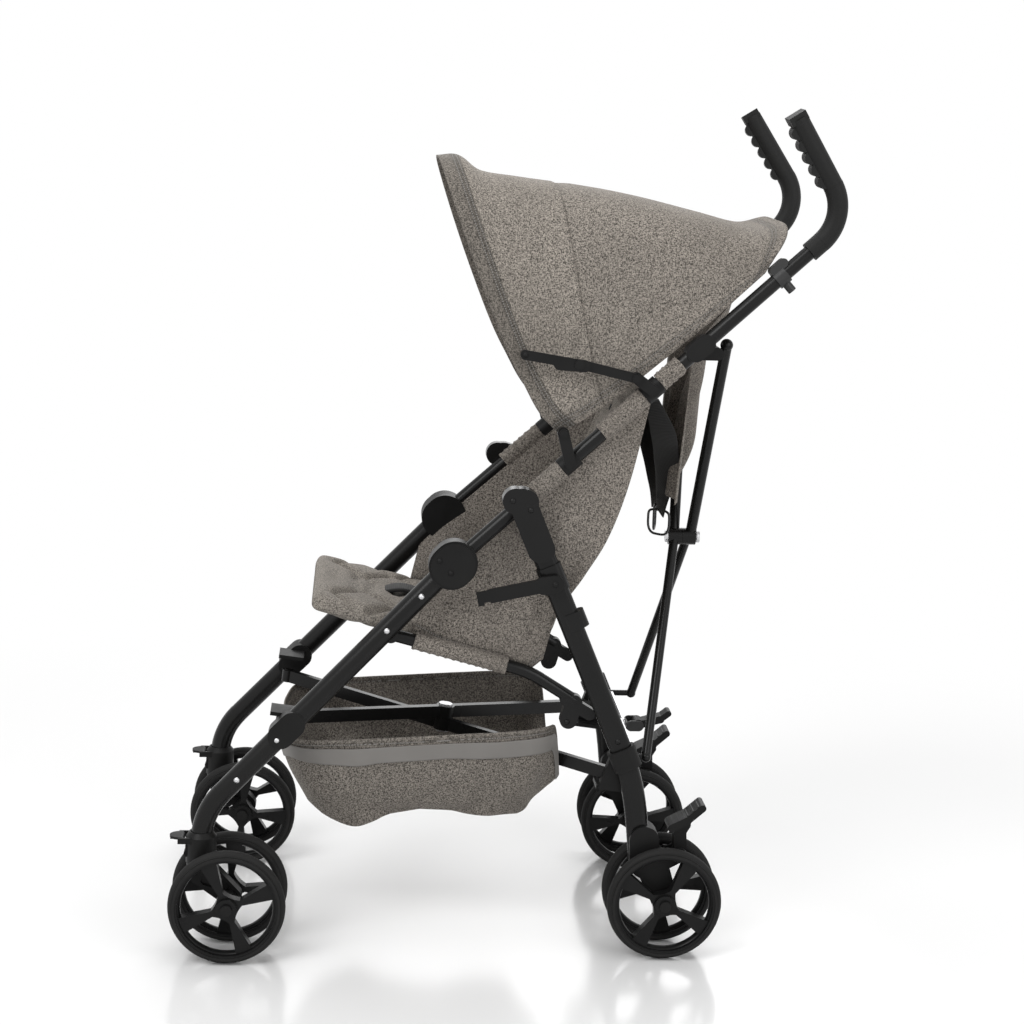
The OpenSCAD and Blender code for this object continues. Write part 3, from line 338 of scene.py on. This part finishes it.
# Cloth
# Melange polyester canvas: yarns of dark and light grey fibre, spun unevenly, so the cloth looks
# speckled along both thread directions. It is a little furry, has a soft sheen and no gloss.
def melange(name, dark, light, stitches=(), furry=0.12, lines_v=(), hem=0.0):
    """Cloth with slubs along the threads; stitch rows and a hem's width are places of the UV map,
    in metres from the edge."""
    cloth = Finish(name)
    slub_y = cloth.noise(820, 3, (1, 0.40, 1), 0.6)
    slub_z = cloth.noise(820, 3, (0.8, 1, 0.40), 0.6)
    fleck = cloth.noise(1500, 2)
    drift = cloth.noise(7, 3)
    mingle = cloth.ramp(slub_y * 0.42 + slub_z * 0.42 + fleck * 0.36 - 0.10, 0.40, 0.60)
    tone = cloth.mix(mingle, dark, light)
    faded = tuple(0.55 * (a + b) / 2 for a, b in zip(dark, light))
    # deep: darker tone used for the painted shade on the hem band and beside the stitch rows.
    deep = tuple(c * 0.6 for c in dark)
    thread = (0.22, 0.2134, 0.2046)
    tone = cloth.mix(cloth.ramp(drift, 0.35, 0.7, 0, 0.30), tone, faded)
    height = slub_y * 0.5 + slub_z * 0.5 + cloth.noise(60, 2) * 0.5
    uv = cloth.node("UVMap", {"uv_map": "cut"})
    parts = [cloth.node("SeparateXYZ", sockets={"Vector": uv}, out=way) for way in ("X", "Y")]
    if hem:
        folded = cloth.ramp(parts[0], hem, hem - 0.0012)
        # Painted shade: the hem band is darkened towards the deep tone as if it lay in shadow; the height
        # below is the hem's real fold.
        tone = cloth.mix(folded * 0.38, tone, deep)
        height = height + folded * 1.2
    for across, places in ((0, stitches), (1, lines_v)):
        for spot in places:
            gap = cloth.maths_abs(parts[across] - spot)
            row = cloth.ramp(gap, 0.0011, 0.0005)
            dash = cloth.ramp(cloth.wave(parts[1 - across] * 2000), 0.3, 0.6)
            crease_and_shade = cloth.ramp(gap, 0.0045, 0.0, 0, 1)
            tone = cloth.mix(row * dash * 0.75, tone, thread)
            # Painted shade: beside each stitch row the cloth is darkened towards the deep tone, where the
            # crease's shadow would fall; the height below is the crease's real dip.
            tone = cloth.mix(crease_and_shade * (1 - dash * row) * 0.45, tone, deep)
            height = height - crease_and_shade * 1.6
    return cloth.surface(Base_Color=tone, Roughness=0.86, Specular_IOR_Level=0.25, Sheen_Weight=furry,
                         Sheen_Roughness=0.45, Sheen_Tint=(0.60, 0.57, 0.53),
                         Normal=cloth.bump(height, 0.0006, 0.55))


def absolute(self, value):
    """Size of a value without its sign."""
    return self.node("Math", {"operation": "ABSOLUTE"}, {0: value})


def ripple(self, value):
    """Sine of a value, brought to the range from 0 to 1."""
    return self.node("Math", {"operation": "SINE"}, {0: value}) * 0.5 + 0.5


Finish.maths_abs, Finish.wave = absolute, ripple


def along(points, t):
    """Smooth curve through points: a cubic through each pair, whose slopes come from their neighbours."""
    p = np.asarray(points, float)
    n = len(p) - 1
    s = np.clip(np.asarray(t, float), 0, 1) * n
    k = np.minimum(s.astype(int), n - 1)
    f = (s - k)[..., None]
    slope = np.gradient(p, axis=0)
    a, b, ma, mb = p[k], p[k + 1], slope[k], slope[k + 1]
    return ((2 * f**3 - 3 * f**2 + 1) * a + (f**3 - 2 * f**2 + f) * ma
            + (3 * f**2 - 2 * f**3) * b + (f**3 - f**2) * mb)


def cut_map(obj, cut):
    """UV map named cut: each grid point's place on the flat cloth, in metres."""
    layer = obj.data.uv_layers.new(name="cut")
    corner = np.empty(len(obj.data.loops), dtype=np.int64)
    obj.data.loops.foreach_get("vertex_index", corner)
    layer.data.foreach_set("uv", cut.reshape(-1, 2)[corner].astype(np.float32).ravel())


def lengths(points, axis):
    """Distance along the grid lines from the first point, by adding up the steps."""
    steps = np.linalg.norm(np.diff(points, axis=axis), axis=-1)
    first = np.zeros_like(np.take(steps, [0], axis=axis))
    return np.concatenate([first, np.cumsum(steps, axis=axis)], axis=axis)


def thicken(obj, thickness, offset=-1.0):
    """Gives a sheet its thickness on the inner side."""
    wall = obj.modifiers.new("thickness", "SOLIDIFY")
    wall.thickness = thickness
    wall.offset = offset
    wall.use_even_offset = False


def quad_area(grid):
    """Sum of the areas of a grid's quads, each half the cross product of its diagonals."""
    cross = np.cross(grid[1:, 1:] - grid[:-1, :-1], grid[1:, :-1] - grid[:-1, 1:])
    return 0.5 * np.linalg.norm(cross, axis=-1).sum()


def hang(grid):
    """Works out a cloth's flat size, the longest run each way, and its area, that of the quads; nothing is
    kept.
    """
    across = lengths(grid, 1)[:, -1].max()
    down = lengths(grid, 0)[-1].max()
    area = quad_area(grid)
    down = max(down, area / across)


def ripples(points, size, scale, seed, steps=5):
    """Smooth made-up folds: a few sine waves in seeded directions, scaled to a size."""
    rng = np.random.default_rng(seed)
    total = np.zeros(points.shape[:2])
    for k in range(steps):
        way = rng.normal(size=3)
        way /= np.linalg.norm(way)
        total += np.sin(points @ way * scale * (0.6 + 0.35 * k) + rng.uniform(0, 6.28)) / (1 + 0.5 * k)
    return size * total / 2


# Hood
# One curved sheet over two bows: the front half swings on the bow in the brim, and the rear half
# is fixed to the handle tubes. The edges are bound and sewn twice, and the sides end in a point at
# each handle tube.
hood_top = [(-0.093, 0.989), (-0.066, 0.990), (-0.038, 0.972), (0.013, 0.966), (0.090, 0.957),
            (0.167, 0.945), (0.245, 0.927), (0.303, 0.914), (0.342, 0.921)]
hood_low = [(0.060, 0.661), (0.062, 0.6635), (0.070, 0.668), (0.095, 0.683), (0.130, 0.708),
            (0.178, 0.748), (0.235, 0.796), (0.278, 0.836), (0.306, 0.862)]
hood_half = 0.170
hood_hinge = np.array([0.063, 0.664])


def hood_points(u, v, inset=0.0):
    """Each row is an arch from side to side: its height follows a power of a cosine, and its
    width a power of a sine, between the lower edge's point and the top line's point."""
    top, low = along(hood_top, u), along(hood_low, u)
    a = np.pi / 2 * v
    c = np.abs(np.cos(a)) ** 0.62
    c = np.where(np.abs(v) > 0.99999, 0.0, c)
    y = low[..., 0] + (top[..., 0] - low[..., 0]) * c ** (0.7 + 0.3 * u)
    x = (hood_half - inset - 0.022 * u) * np.sign(a) * np.abs(np.sin(a)) ** 0.5
    z = low[..., 1] + (top[..., 1] - inset - low[..., 1]) * c
    return np.stack([x, y, z], -1)


def hood_piece(name, u0, u1, rows, body, node, material, under=0.0):
    """One half of the hood, from u0 to u1 of its length: folds run out from the lower hinge, and
    under is how far the overlap lies beneath the other half."""
    across = np.concatenate([np.linspace(-1, -0.7, 40)[:-1], np.linspace(-0.7, 0.7, 100),
                             np.linspace(0.7, 1, 40)[1:]])
    u, v = np.meshgrid(np.linspace(u0, u1, rows), across, indexing="ij")
    grid = hood_points(u, v, under * np.clip((0.48 - u) * 30, 0, 1))
    foot = np.exp(-(np.linalg.norm(grid[..., 1:] - hood_hinge, axis=-1) / 0.16) ** 2)
    turn = np.arctan2(grid[..., 2] - hood_hinge[1], grid[..., 1] - hood_hinge[0])
    drawn = 0.0022 * foot * np.sin(turn * 26) + ripples(grid, 0.0016, 26, 4)
    slack = 0.006 * np.sin(np.pi * np.clip((u - 0.1) / 0.82, 0, 1)) * np.abs(v) ** 2
    held = np.clip((1 - np.abs(v)) * 12, 0, 1) * np.clip(np.abs(v) * 3, 0, 1)
    grid[..., 0] += np.sign(v) * (drawn - slack) * held
    grid[..., 2] += ripples(grid, 0.002, 22, 9) * (1 - np.abs(v) ** 2)
    piece = sheet_mesh(name, grid[:, ::-1])
    from_edge, round_arch = lengths(grid, 0), lengths(grid, 1)
    if u0 > 0:
        from_edge = from_edge[-1:] - from_edge
    from_end = np.minimum(round_arch, round_arch[:, -1:] - round_arch)
    cut_map(piece, np.stack([from_edge, from_end], -1)[:, ::-1])
    thicken(piece, 0.0022)
    piece.data.materials.append(material)
    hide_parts(node)
    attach(piece, body)
    hang(grid)
    narrow(piece)


def narrow(piece):
    """Gives the piece its own copy of its mesh data."""
    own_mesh(piece)


# The front half's 26 mm hem is the brim band, which gets painted shade.
brim_cloth = melange("hood_canvas_front", (0.030, 0.027, 0.023), (0.40, 0.358, 0.312),
                     stitches=(0.017, 0.022), hem=0.026, lines_v=(0.008, 0.013))
# Painted shade: the rear half is the same canvas as the front half, with its light yarn tone scaled to 0.925
# of the front's.
rear_cloth_shaded = melange("hood_canvas_rear_shaded", (0.030, 0.027, 0.023), (0.37, 0.331, 0.289),
                     stitches=(0.015, 0.020), lines_v=(0.010, 0.016))
hood_piece("hood_front", 0.0, 0.445, 60, "hood_front", "canopy_front", brim_cloth)
hood_piece("hood_rear", 0.435, 1.0, 70, "chassis", "canopy_rear", rear_cloth_shaded, 0.0024)

# Seat panels
# Cloth sides of the seat: each hangs from a sleeve round the handle tube and ends in a hem round
# the seat rail. The cloth is pulled tight along the tube and falls in soft folds behind.
panel_cloth = melange("panel_canvas", (0.028, 0.025, 0.022), (0.34, 0.304, 0.266), lines_v=(0.008,))
panel_top = [(-0.098, 0.462), (-0.060, 0.500), (0.000, 0.556), (0.060, 0.612), (0.120, 0.668),
             (0.165, 0.708)]
panel_low = [(-0.112, 0.408), (-0.085, 0.392), (-0.040, 0.378), (0.000, 0.366), (0.026, 0.356),
             (0.050, 0.372)]
panel_rear = [(0.050, 0.372), (0.066, 0.432), (0.098, 0.482), (0.126, 0.530), (0.150, 0.600),
              (0.172, 0.700)]
tube_skin, rail_x = 0.0095, 0.1425
for end, hand in (("left", 1), ("right", -1)):
    u, v = np.meshgrid(np.linspace(0, 1, 90), np.linspace(0, 1, 90), indexing="ij")
    head, foot = along(panel_top, u), along(panel_low, u)
    swell = along(panel_rear, 1 - v)
    down, last = v[..., None], np.ones_like(u)
    straight = head * (1 - down) + foot * down
    edge_line = along(panel_top, last) * (1 - down) + along(panel_low, last) * down
    flat_yz = straight + (swell - edge_line) * (u**2)[..., None]
    x = (tube_side(flat_yz[..., 1]) - tube_skin) * (1 - v) + rail_x * v
    grid = np.stack([hand * x, flat_yz[..., 0], flat_yz[..., 1]], -1)
    soft = np.sin(np.pi * v) * np.clip(u * 6, 0, 1)
    grid[..., 0] += hand * soft * (0.004 * np.sin(u * 19 + v * 3) * u - 0.010 * (1 - u) - 0.004)
    grid[..., 0] += hand * ripples(grid, 0.0016, 40, 21 + hand) * soft
    panel = sheet_mesh("seat_panel_" + end, grid if hand > 0 else grid[:, ::-1])
    cut_map(panel, np.stack([lengths(grid, 0), lengths(grid, 1)[:, -1:] - lengths(grid, 1)], -1)[:, ::hand])
    thicken(panel, 0.002)
    panel.data.materials.append(panel_cloth)
    if hand > 0:
        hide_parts("seat_sling")
    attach(panel, "chassis")
    hang(grid)
    narrow(panel)

# Seat pad
# Padded seat, sewn in diamonds through its wadding, with a slot for the harness between the legs.
# Its face is a lighter, finer melange than the hood.
pad_cloth = melange("pad_canvas", (0.055, 0.050, 0.043), (0.36, 0.325, 0.285), furry=0.18)


diamond = (0.094, 0.088)


def quilt(x, y, width=0.007):
    """Depth of sewn diamonds: near 1 on two crossing families of lines, falling off as a bell curve."""
    pitch_x, pitch_y = diamond
    total = np.zeros_like(x)
    for way in (1, -1):
        s = x / pitch_x + way * y / pitch_y
        off = np.abs(s - np.round(s)) / math.hypot(1 / pitch_x, 1 / pitch_y)
        total = np.maximum(total, np.exp(-(off / width) ** 2))
    return total


def pad_form(name, line, half, thick, sewn, rows=150, cols=260, pull=0.05):
    """Closed pad: round each point of its middle line goes a flat rounded loop whose width
    draws in and whose thickness shrinks towards both ends; sewn lines sink into its face."""
    u = np.linspace(0, 1, rows)
    mid = along(line, u)
    step = np.gradient(mid, axis=0)
    step /= np.linalg.norm(step, axis=1)[:, None]
    out = np.stack([-step[:, 1], step[:, 0]], -1)
    angle = np.linspace(0, 2 * np.pi, cols, endpoint=False)[None, :]
    ends = (1 - np.abs(2 * u - 1) ** 16)[:, None] ** 0.5
    wide = half * (1 - pull * np.abs(2 * u - 1) ** 3)[:, None] * (0.93 + 0.07 * ends)
    x = wide * np.sign(np.cos(angle)) * np.abs(np.cos(angle)) ** 0.35
    crown = np.abs(np.sin(angle)) ** 0.55 * (0.12 + 0.88 * ends)
    rise = thick / 2 * np.sign(np.sin(angle)) * crown
    run = np.concatenate([[0], np.cumsum(np.linalg.norm(np.diff(mid, axis=0), axis=1))])[:, None] + 0 * angle
    depth = sewn(x, run)
    up_side = np.clip(np.sin(angle) * 3, 0, 1)
    rise = rise + up_side * ends * (0.004 - depth * 0.0095) - (1 - up_side) * ends * depth * 0.002
    grid = np.stack([x, mid[:, 0:1] + rise * out[:, 0:1], mid[:, 1:2] + rise * out[:, 1:2]], -1)
    pad = sheet_mesh(name, grid, wrap_v=True, caps=True)
    cut_map(pad, np.stack([x, run], -1))
    return pad


def seat_sewn(x, run):
    """Diamonds over the seat behind its front edge, and the harness slot."""
    diamonds = quilt(x, run - 0.02) * np.clip((run - 0.012) * 60, 0, 1)
    slot = np.exp(-(x / 0.020) ** 4) * np.exp(-((run - 0.150) / 0.006) ** 2) * 1.6
    return np.maximum(diamonds, slot)


seat_line = [(-0.240, 0.436), (-0.215, 0.430), (-0.150, 0.414), (-0.080, 0.397), (0.000, 0.376),
             (0.024, 0.370)]
seat = pad_form("seat_pad_quilted", seat_line, 0.135, 0.024, seat_sewn)
seat.data.materials.append(pad_cloth)
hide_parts("seat_pad")
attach(seat, "chassis")
narrow(seat)

# Backrest
# Padded back between the side panels, sewn in diamonds between two long seams. It leans back with
# the recline straps.
def back_sewn(x, run):
    """Diamonds in the middle of the back and one seam along each side."""
    side_seam = np.exp(-((np.abs(x) - 0.100) / 0.005) ** 2)
    inner = quilt(x, run) * (np.abs(x) < 0.1)
    return np.maximum(side_seam, inner)


back_line = [(0.050, 0.392), (0.064, 0.440), (0.096, 0.520), (0.128, 0.600), (0.156, 0.670),
             (0.178, 0.716)]
back = pad_form("backrest_pad", back_line, 0.126, 0.024, back_sewn, rows=170)
back.data.materials.append(pad_cloth)
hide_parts("backrest")
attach(back, "backrest")
narrow(back)

# Harness
# Woven polypropylene webbing, 2 mm thick, with ribs across it; the shoulder straps have soft pads.
webbing = Finish("webbing")
strap_map = webbing.node("UVMap", {"uv_map": "cut"})
ribs = webbing.wave(webbing.node("SeparateXYZ", sockets={"Vector": strap_map}, out="Y") * 2600)
lint = webbing.noise(700, 2)
web_black = webbing.surface(
    Base_Color=webbing.mix(lint, (0.006, 0.006, 0.006), (0.016, 0.0155, 0.015)), Roughness=0.75,
    Specular_IOR_Level=0.25, Sheen_Weight=0.12, Normal=webbing.bump(ribs, 0.0004, 0.6))


def strap(name, path, width, thick, body, node=None, twist=None):
    """Flat webbing: a rounded flat loop carried along a smooth path; its width may change."""
    t = np.linspace(0, 1, 60)
    mid = along(path, t)
    step = np.gradient(mid, axis=0)
    step /= np.linalg.norm(step, axis=1)[:, None]
    broad = along(twist, t) if twist is not None else np.tile([1.0, 0, 0], (60, 1))
    broad = broad - (broad * step).sum(1)[:, None] * step
    broad /= np.linalg.norm(broad, axis=1)[:, None]
    flat_out = np.cross(step, broad)
    size = np.interp(t, np.linspace(0, 1, len(width)), width)
    a = np.linspace(0, 2 * np.pi, 24, endpoint=False)
    across = size[:, None] / 2 * (np.sign(np.cos(a)) * np.abs(np.cos(a)) ** 0.3)[None]
    deep = thick / 2 * (np.sign(np.sin(a)) * np.abs(np.sin(a)) ** 0.6)[None]
    grid = mid[:, None] + across[..., None] * broad[:, None] + deep[..., None] * flat_out[:, None]
    run = np.concatenate([[0], np.cumsum(np.linalg.norm(np.diff(mid, axis=0), axis=1))])
    piece = sheet_mesh(name, grid, wrap_v=True, caps=True)
    cut_map(piece, np.stack([across, run[:, None] + 0 * across], -1))
    piece.data.materials.append(web_black)
    if node:
        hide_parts(node)
    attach(piece, body)
    narrow(piece)


shoulder_line = [(0.052, 0.434), (0.076, 0.495), (0.102, 0.560), (0.126, 0.624), (0.146, 0.672)]
waist_line = [(0.125, 0.020, 0.398), (0.09, -0.012, 0.408), (0.05, -0.050, 0.410), (0.018, -0.075, 0.412)]
for end, hand in (("left", 1), ("right", -1)):
    strap("shoulder_strap_" + end, [(hand * 0.050, y, z) for y, z in shoulder_line],
          [0.025, 0.025, 0.046, 0.046, 0.030], 0.004, "chassis", "harness" if hand > 0 else None)
    strap("waist_strap_" + end, [(hand * x, y, z) for x, y, z in waist_line], [0.025, 0.025], 0.002,
          "chassis", twist=[(0, 0.6, 0.2)] * 4)
crotch_line = [(0, -0.155, 0.412), (0, -0.152, 0.424), (0, -0.128, 0.430), (0, -0.100, 0.424),
               (0, -0.075, 0.418)]
strap("crotch_strap", crotch_line, [0.030, 0.034, 0.040, 0.036, 0.026], 0.006, "chassis")

# Recline straps
# Two black straps come down from the top corners of the back and meet in wire rings, by which the
# back is let down; the rings are bent steel wire with a black coat.
recline_line = [(0.122, 0.176, 0.700), (0.100, 0.196, 0.655), (0.062, 0.207, 0.610), (0.034, 0.208, 0.572),
                (0.024, 0.207, 0.540)]
for end, hand in (("left", 1), ("right", -1)):
    strap("recline_strap_" + end, [(hand * x, y, z) for x, y, z in recline_line],
          [0.020, 0.034, 0.036, 0.030, 0.028], 0.0018, "backrest", "recline_straps" if hand > 0 else None,
          twist=[(0.3, 1, -0.1), (0.45, 1, 0), (0.7, 0.8, 0), (0.9, 0.5, 0), (1, 0.2, 0)])

wire = Finish("coated_wire")
wire_black = wire.surface(Base_Color=(0.02, 0.02, 0.02),
                          Roughness=wire.ramp(wire.noise(300, 2), 0.3, 0.7, 0.25, 0.4))
wire_r = 0.0016


def ring(name, centre, tall, broad, lean, body):
    """Closed D of round wire: a rounded square outline with a straight top bar, and circles of the
    wire's radius across it."""
    t = np.linspace(0, 2 * np.pi, 72, endpoint=False)
    loop_x = broad / 2 * np.sign(np.cos(t)) * np.abs(np.cos(t)) ** 0.55
    loop_z = tall / 2 * np.sign(np.sin(t)) * np.abs(np.sin(t)) ** np.where(np.sin(t) > 0, 0.35, 0.9)
    mid = np.stack([loop_x * math.cos(lean), loop_x * math.sin(lean), loop_z], -1)
    step = np.roll(mid, -1, 0) - np.roll(mid, 1, 0)
    step /= np.linalg.norm(step, axis=1)[:, None]
    side_way = np.array([-math.sin(lean), math.cos(lean), 0])
    other = np.cross(step, side_way)
    a = np.linspace(0, 2 * np.pi, 12, endpoint=False)[None, :, None]
    grid = (mid + centre)[:, None] + wire_r * (np.cos(a) * side_way + np.sin(a) * other[:, None])
    piece = sheet_mesh(name, grid[::-1], wrap_u=True, wrap_v=True)
    piece.data.materials.append(wire_black)
    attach(piece, body)


for end, hand in (("left", 1), ("right", -1)):
    ring("recline_ring_" + end, np.array([hand * 0.020, 0.206, 0.527]), 0.032, 0.034,
         hand * 0.5 + 0.3, "backrest")

# Rear flap
# A loose cloth that hangs from the rear edge of the hood behind the back, in long soft folds. It
# starts behind the hood's edge and swells out between the crossed tubes where they leave room.
u, v = np.meshgrid(np.linspace(0, 1, 90), np.linspace(-1, 1, 110), indexing="ij")
fall = 0.004 * u * np.sin(v * 7.5 + 0.6) + 0.003 * u * np.sin(v * 17)
flap_x, flap_z = v * (0.106 - 0.012 * u**2), 0.838 - 0.255 * u - 0.020 * u * np.abs(v)
room = np.clip((0.118 * (flap_z - 0.505) / 0.265 - 0.016 - np.abs(flap_x)) / 0.035, 0, 1)
swell = 0.026 * room**2 * (3 - 2 * room) * np.clip(u * 6, 0, 1)
flap_y = 0.2335 - 0.020 * u + fall + 0.045 * np.clip(1 - u / 0.32, 0, 1) ** 1.5 + swell
flap_grid = np.stack([flap_x, flap_y, flap_z], -1)
flap = sheet_mesh("rear_flap", flap_grid)
cut_map(flap, np.stack([lengths(flap_grid, 0), lengths(flap_grid, 1)], -1))
thicken(flap, 0.0016)
flap.data.materials.append(panel_cloth)
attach(flap, "chassis")
hang(flap_grid)
narrow(flap)

# Basket
# Cloth basket hung from the four legs: its floor sags between the corners, a long fold runs along
# each side, and below the rim of the long sides a smooth reflective tape is sewn on.
basket_y, floor_z = -0.0985, 0.150


def basket_wall(h, v, out=0.0):
    """Rounded-oblong loop at height h from 0, the floor's edge, to 1, the rim: each half-width times
    a signed power of cosine or sine. The rim rises at the sides; the floor's edge is uneven."""
    half_y = 0.1805 - 0.034 * (1 - h) ** 1.6 + out
    half_x = 0.156 - 0.030 * (1 - h) ** 1.8 + out
    x = half_x * np.sign(np.cos(v)) * np.abs(np.cos(v)) ** 0.35
    y = basket_y + half_y * np.sign(np.sin(v)) * np.abs(np.sin(v)) ** 0.35
    beside = np.clip((np.abs(x) / half_x - 0.62) / 0.22, 0, 1)
    beside = beside**2 * (3 - 2 * beside)
    rim = (0.256 - (y + 0.279) * 0.125) * (1 - beside) + (0.262 + (y + 0.279) * 0.062) * beside
    low = (0.160 - 0.013 * np.exp(-((y + 0.181) / 0.030) ** 2) + 0.006 * np.exp(-((y + 0.072) / 0.04) ** 2)
           - 0.003 * np.exp(-((y + 0.010) / 0.03) ** 2)
           + 0.010 * np.clip((np.abs(y - basket_y) - 0.125) / 0.04, 0, 1) + 0.003 * np.sin(v * 5))
    z = low + (rim - low) * h
    fold = np.exp(-((z - 0.176 - 0.012 * np.sin(y * 14)) / 0.007) ** 2) * np.exp(-((y + 0.10) / 0.075) ** 4)
    soft = (1 - h) * 0.9 + 0.1
    wave = (0.0045 * np.sin(y * 38 + z * 30 + x * 9) + 0.003 * np.sin(y * 83 - z * 55 + 1.3)
            + 0.002 * np.sin(y * 131 + z * 90))
    x = x - np.sign(x) * (0.007 * fold + soft * np.clip(0.004 + wave, 0, 1))
    return np.stack([x, y, z], -1)


u, v = np.meshgrid(np.linspace(0, 1, 70), np.linspace(0, 2 * np.pi, 300, endpoint=False), indexing="ij")
wall = basket_wall(1 - u, v)
r = np.linspace(1, 0, 40)[1:, None, None]
middle = np.array([0, basket_y, floor_z])
base = middle + (wall[-1] - middle) * r
rise = (wall[-1][None, :, 2] - floor_z) * r[..., 0] ** 3
base[..., 2] = floor_z + rise + ripples(base, 0.002, 30, 5) * (1 - r[..., 0])
grid = np.concatenate([wall, base], 0)
basket = sheet_mesh("basket_cloth", grid, wrap_v=True)
cut_map(basket, np.stack([lengths(grid, 0), np.cumsum(np.full(grid.shape[:2], 0.0045), axis=1)], -1))
thicken(basket, 0.002)
basket_cloth = melange("basket_canvas", (0.026, 0.023, 0.020), (0.29, 0.262, 0.230), stitches=(0.007,))
basket.data.materials.append(basket_cloth)
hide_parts("basket")
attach(basket, "chassis")
narrow(basket)

tape = Finish("reflective_tape")
bead = tape.noise(2600, 1)
tape_grey = tape.surface(Base_Color=tape.mix(tape.noise(14, 3), (0.155, 0.147, 0.138), (0.215, 0.205, 0.192)),
                         Roughness=0.5, Specular_IOR_Level=0.35, Normal=tape.bump(bead, 0.0002, 0.4))
for end, turn in (("left", 0.0), ("right", math.pi)):
    h, v = np.meshgrid(np.linspace(0.90, 0.71, 14), turn + np.linspace(-1.28, 1.28, 150), indexing="ij")
    grid_band = basket_wall(h, v, 0.0012)
    strip = sheet_mesh("basket_tape_" + end, grid_band)
    thicken(strip, 0.0008, 1.0)
    strip.data.materials.append(tape_grey)
    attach(strip, "chassis")
    narrow(strip)
blank = (0.62, 0.60)
float(min(quad_area(grid), blank[0] * blank[1]))

# Sleeves
# Hems of the seat cloth, sewn into sleeves that are pulled over the handle tubes and the seat
# rails; the cloth puckers a little along them.
# Painted shade: the sleeves are the seat panels' own cloth, with its light yarn tone scaled to 0.97 of the
# panels'.
sleeve_cloth_shaded = melange("sleeve_canvas_shaded", (0.028, 0.025, 0.022), (0.33, 0.295, 0.258))


def sleeve(name, path, radius, body, seed):
    """Tube of cloth round a path: circles across it whose radius swells by a few sine waves."""
    t = np.linspace(0, 1, 70)
    mid = along(path, t)
    step = np.gradient(mid, axis=0)
    step /= np.linalg.norm(step, axis=1)[:, None]
    across = np.cross(step, np.array([1.0, 0, 0]))
    across /= np.linalg.norm(across, axis=1)[:, None]
    other = np.cross(step, across)
    a = np.linspace(0, 2 * np.pi, 40, endpoint=False)[None]
    run = float(np.linalg.norm(np.diff(mid, axis=0), axis=1).sum())
    place = t[:, None] * run
    pucker = 0.0005 * np.sin(place * 650 + 2 * np.sin(a + seed)) + 0.0003 * np.sin(place * 1300 + a * 2)
    reach = radius + pucker + 0.0008 * (np.cos(a - 0.6 * seed) > 0.6)
    spokes = np.cos(a)[..., None] * across[:, None] + np.sin(a)[..., None] * other[:, None]
    grid = mid[:, None] + reach[..., None] * spokes
    piece = sheet_mesh(name, grid, wrap_v=True)
    cut_map(piece, np.stack([lengths(grid, 0), np.cumsum(np.full(grid.shape[:2], 0.0018), axis=1)], -1))
    thicken(piece, 0.0012)
    piece.data.materials.append(sleeve_cloth_shaded)
    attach(piece, body)


def frame_point(t, hand):
    """Place on the leaning handle tube, at distance t in metres up from the elbow."""
    y, z = elbow_y + t * math.cos(tube_slope), elbow_z + t * math.sin(tube_slope)
    return hand * tube_side(z), y, z


tube_spans = ((0.112, 0.177), (0.243, 0.311), (0.337, 0.371))
rail_line = ((-0.112, 0.3958), (-0.070, 0.3848), (-0.030, 0.3743), (0.004, 0.3650))
for end, hand in (("left", 1), ("right", -1)):
    for k, (low, high) in enumerate(tube_spans):
        path = [frame_point(low + (high - low) * f, hand) for f in (0, 0.3, 0.6, 1)]
        sleeve(f"tube_sleeve_{k + 1}_{end}", path, 0.0106, f"side_{end}", k)
    sleeve("rail_sleeve_" + end, [(hand * 0.151, y, z) for y, z in rail_line], 0.0098, f"side_{end}", 3)
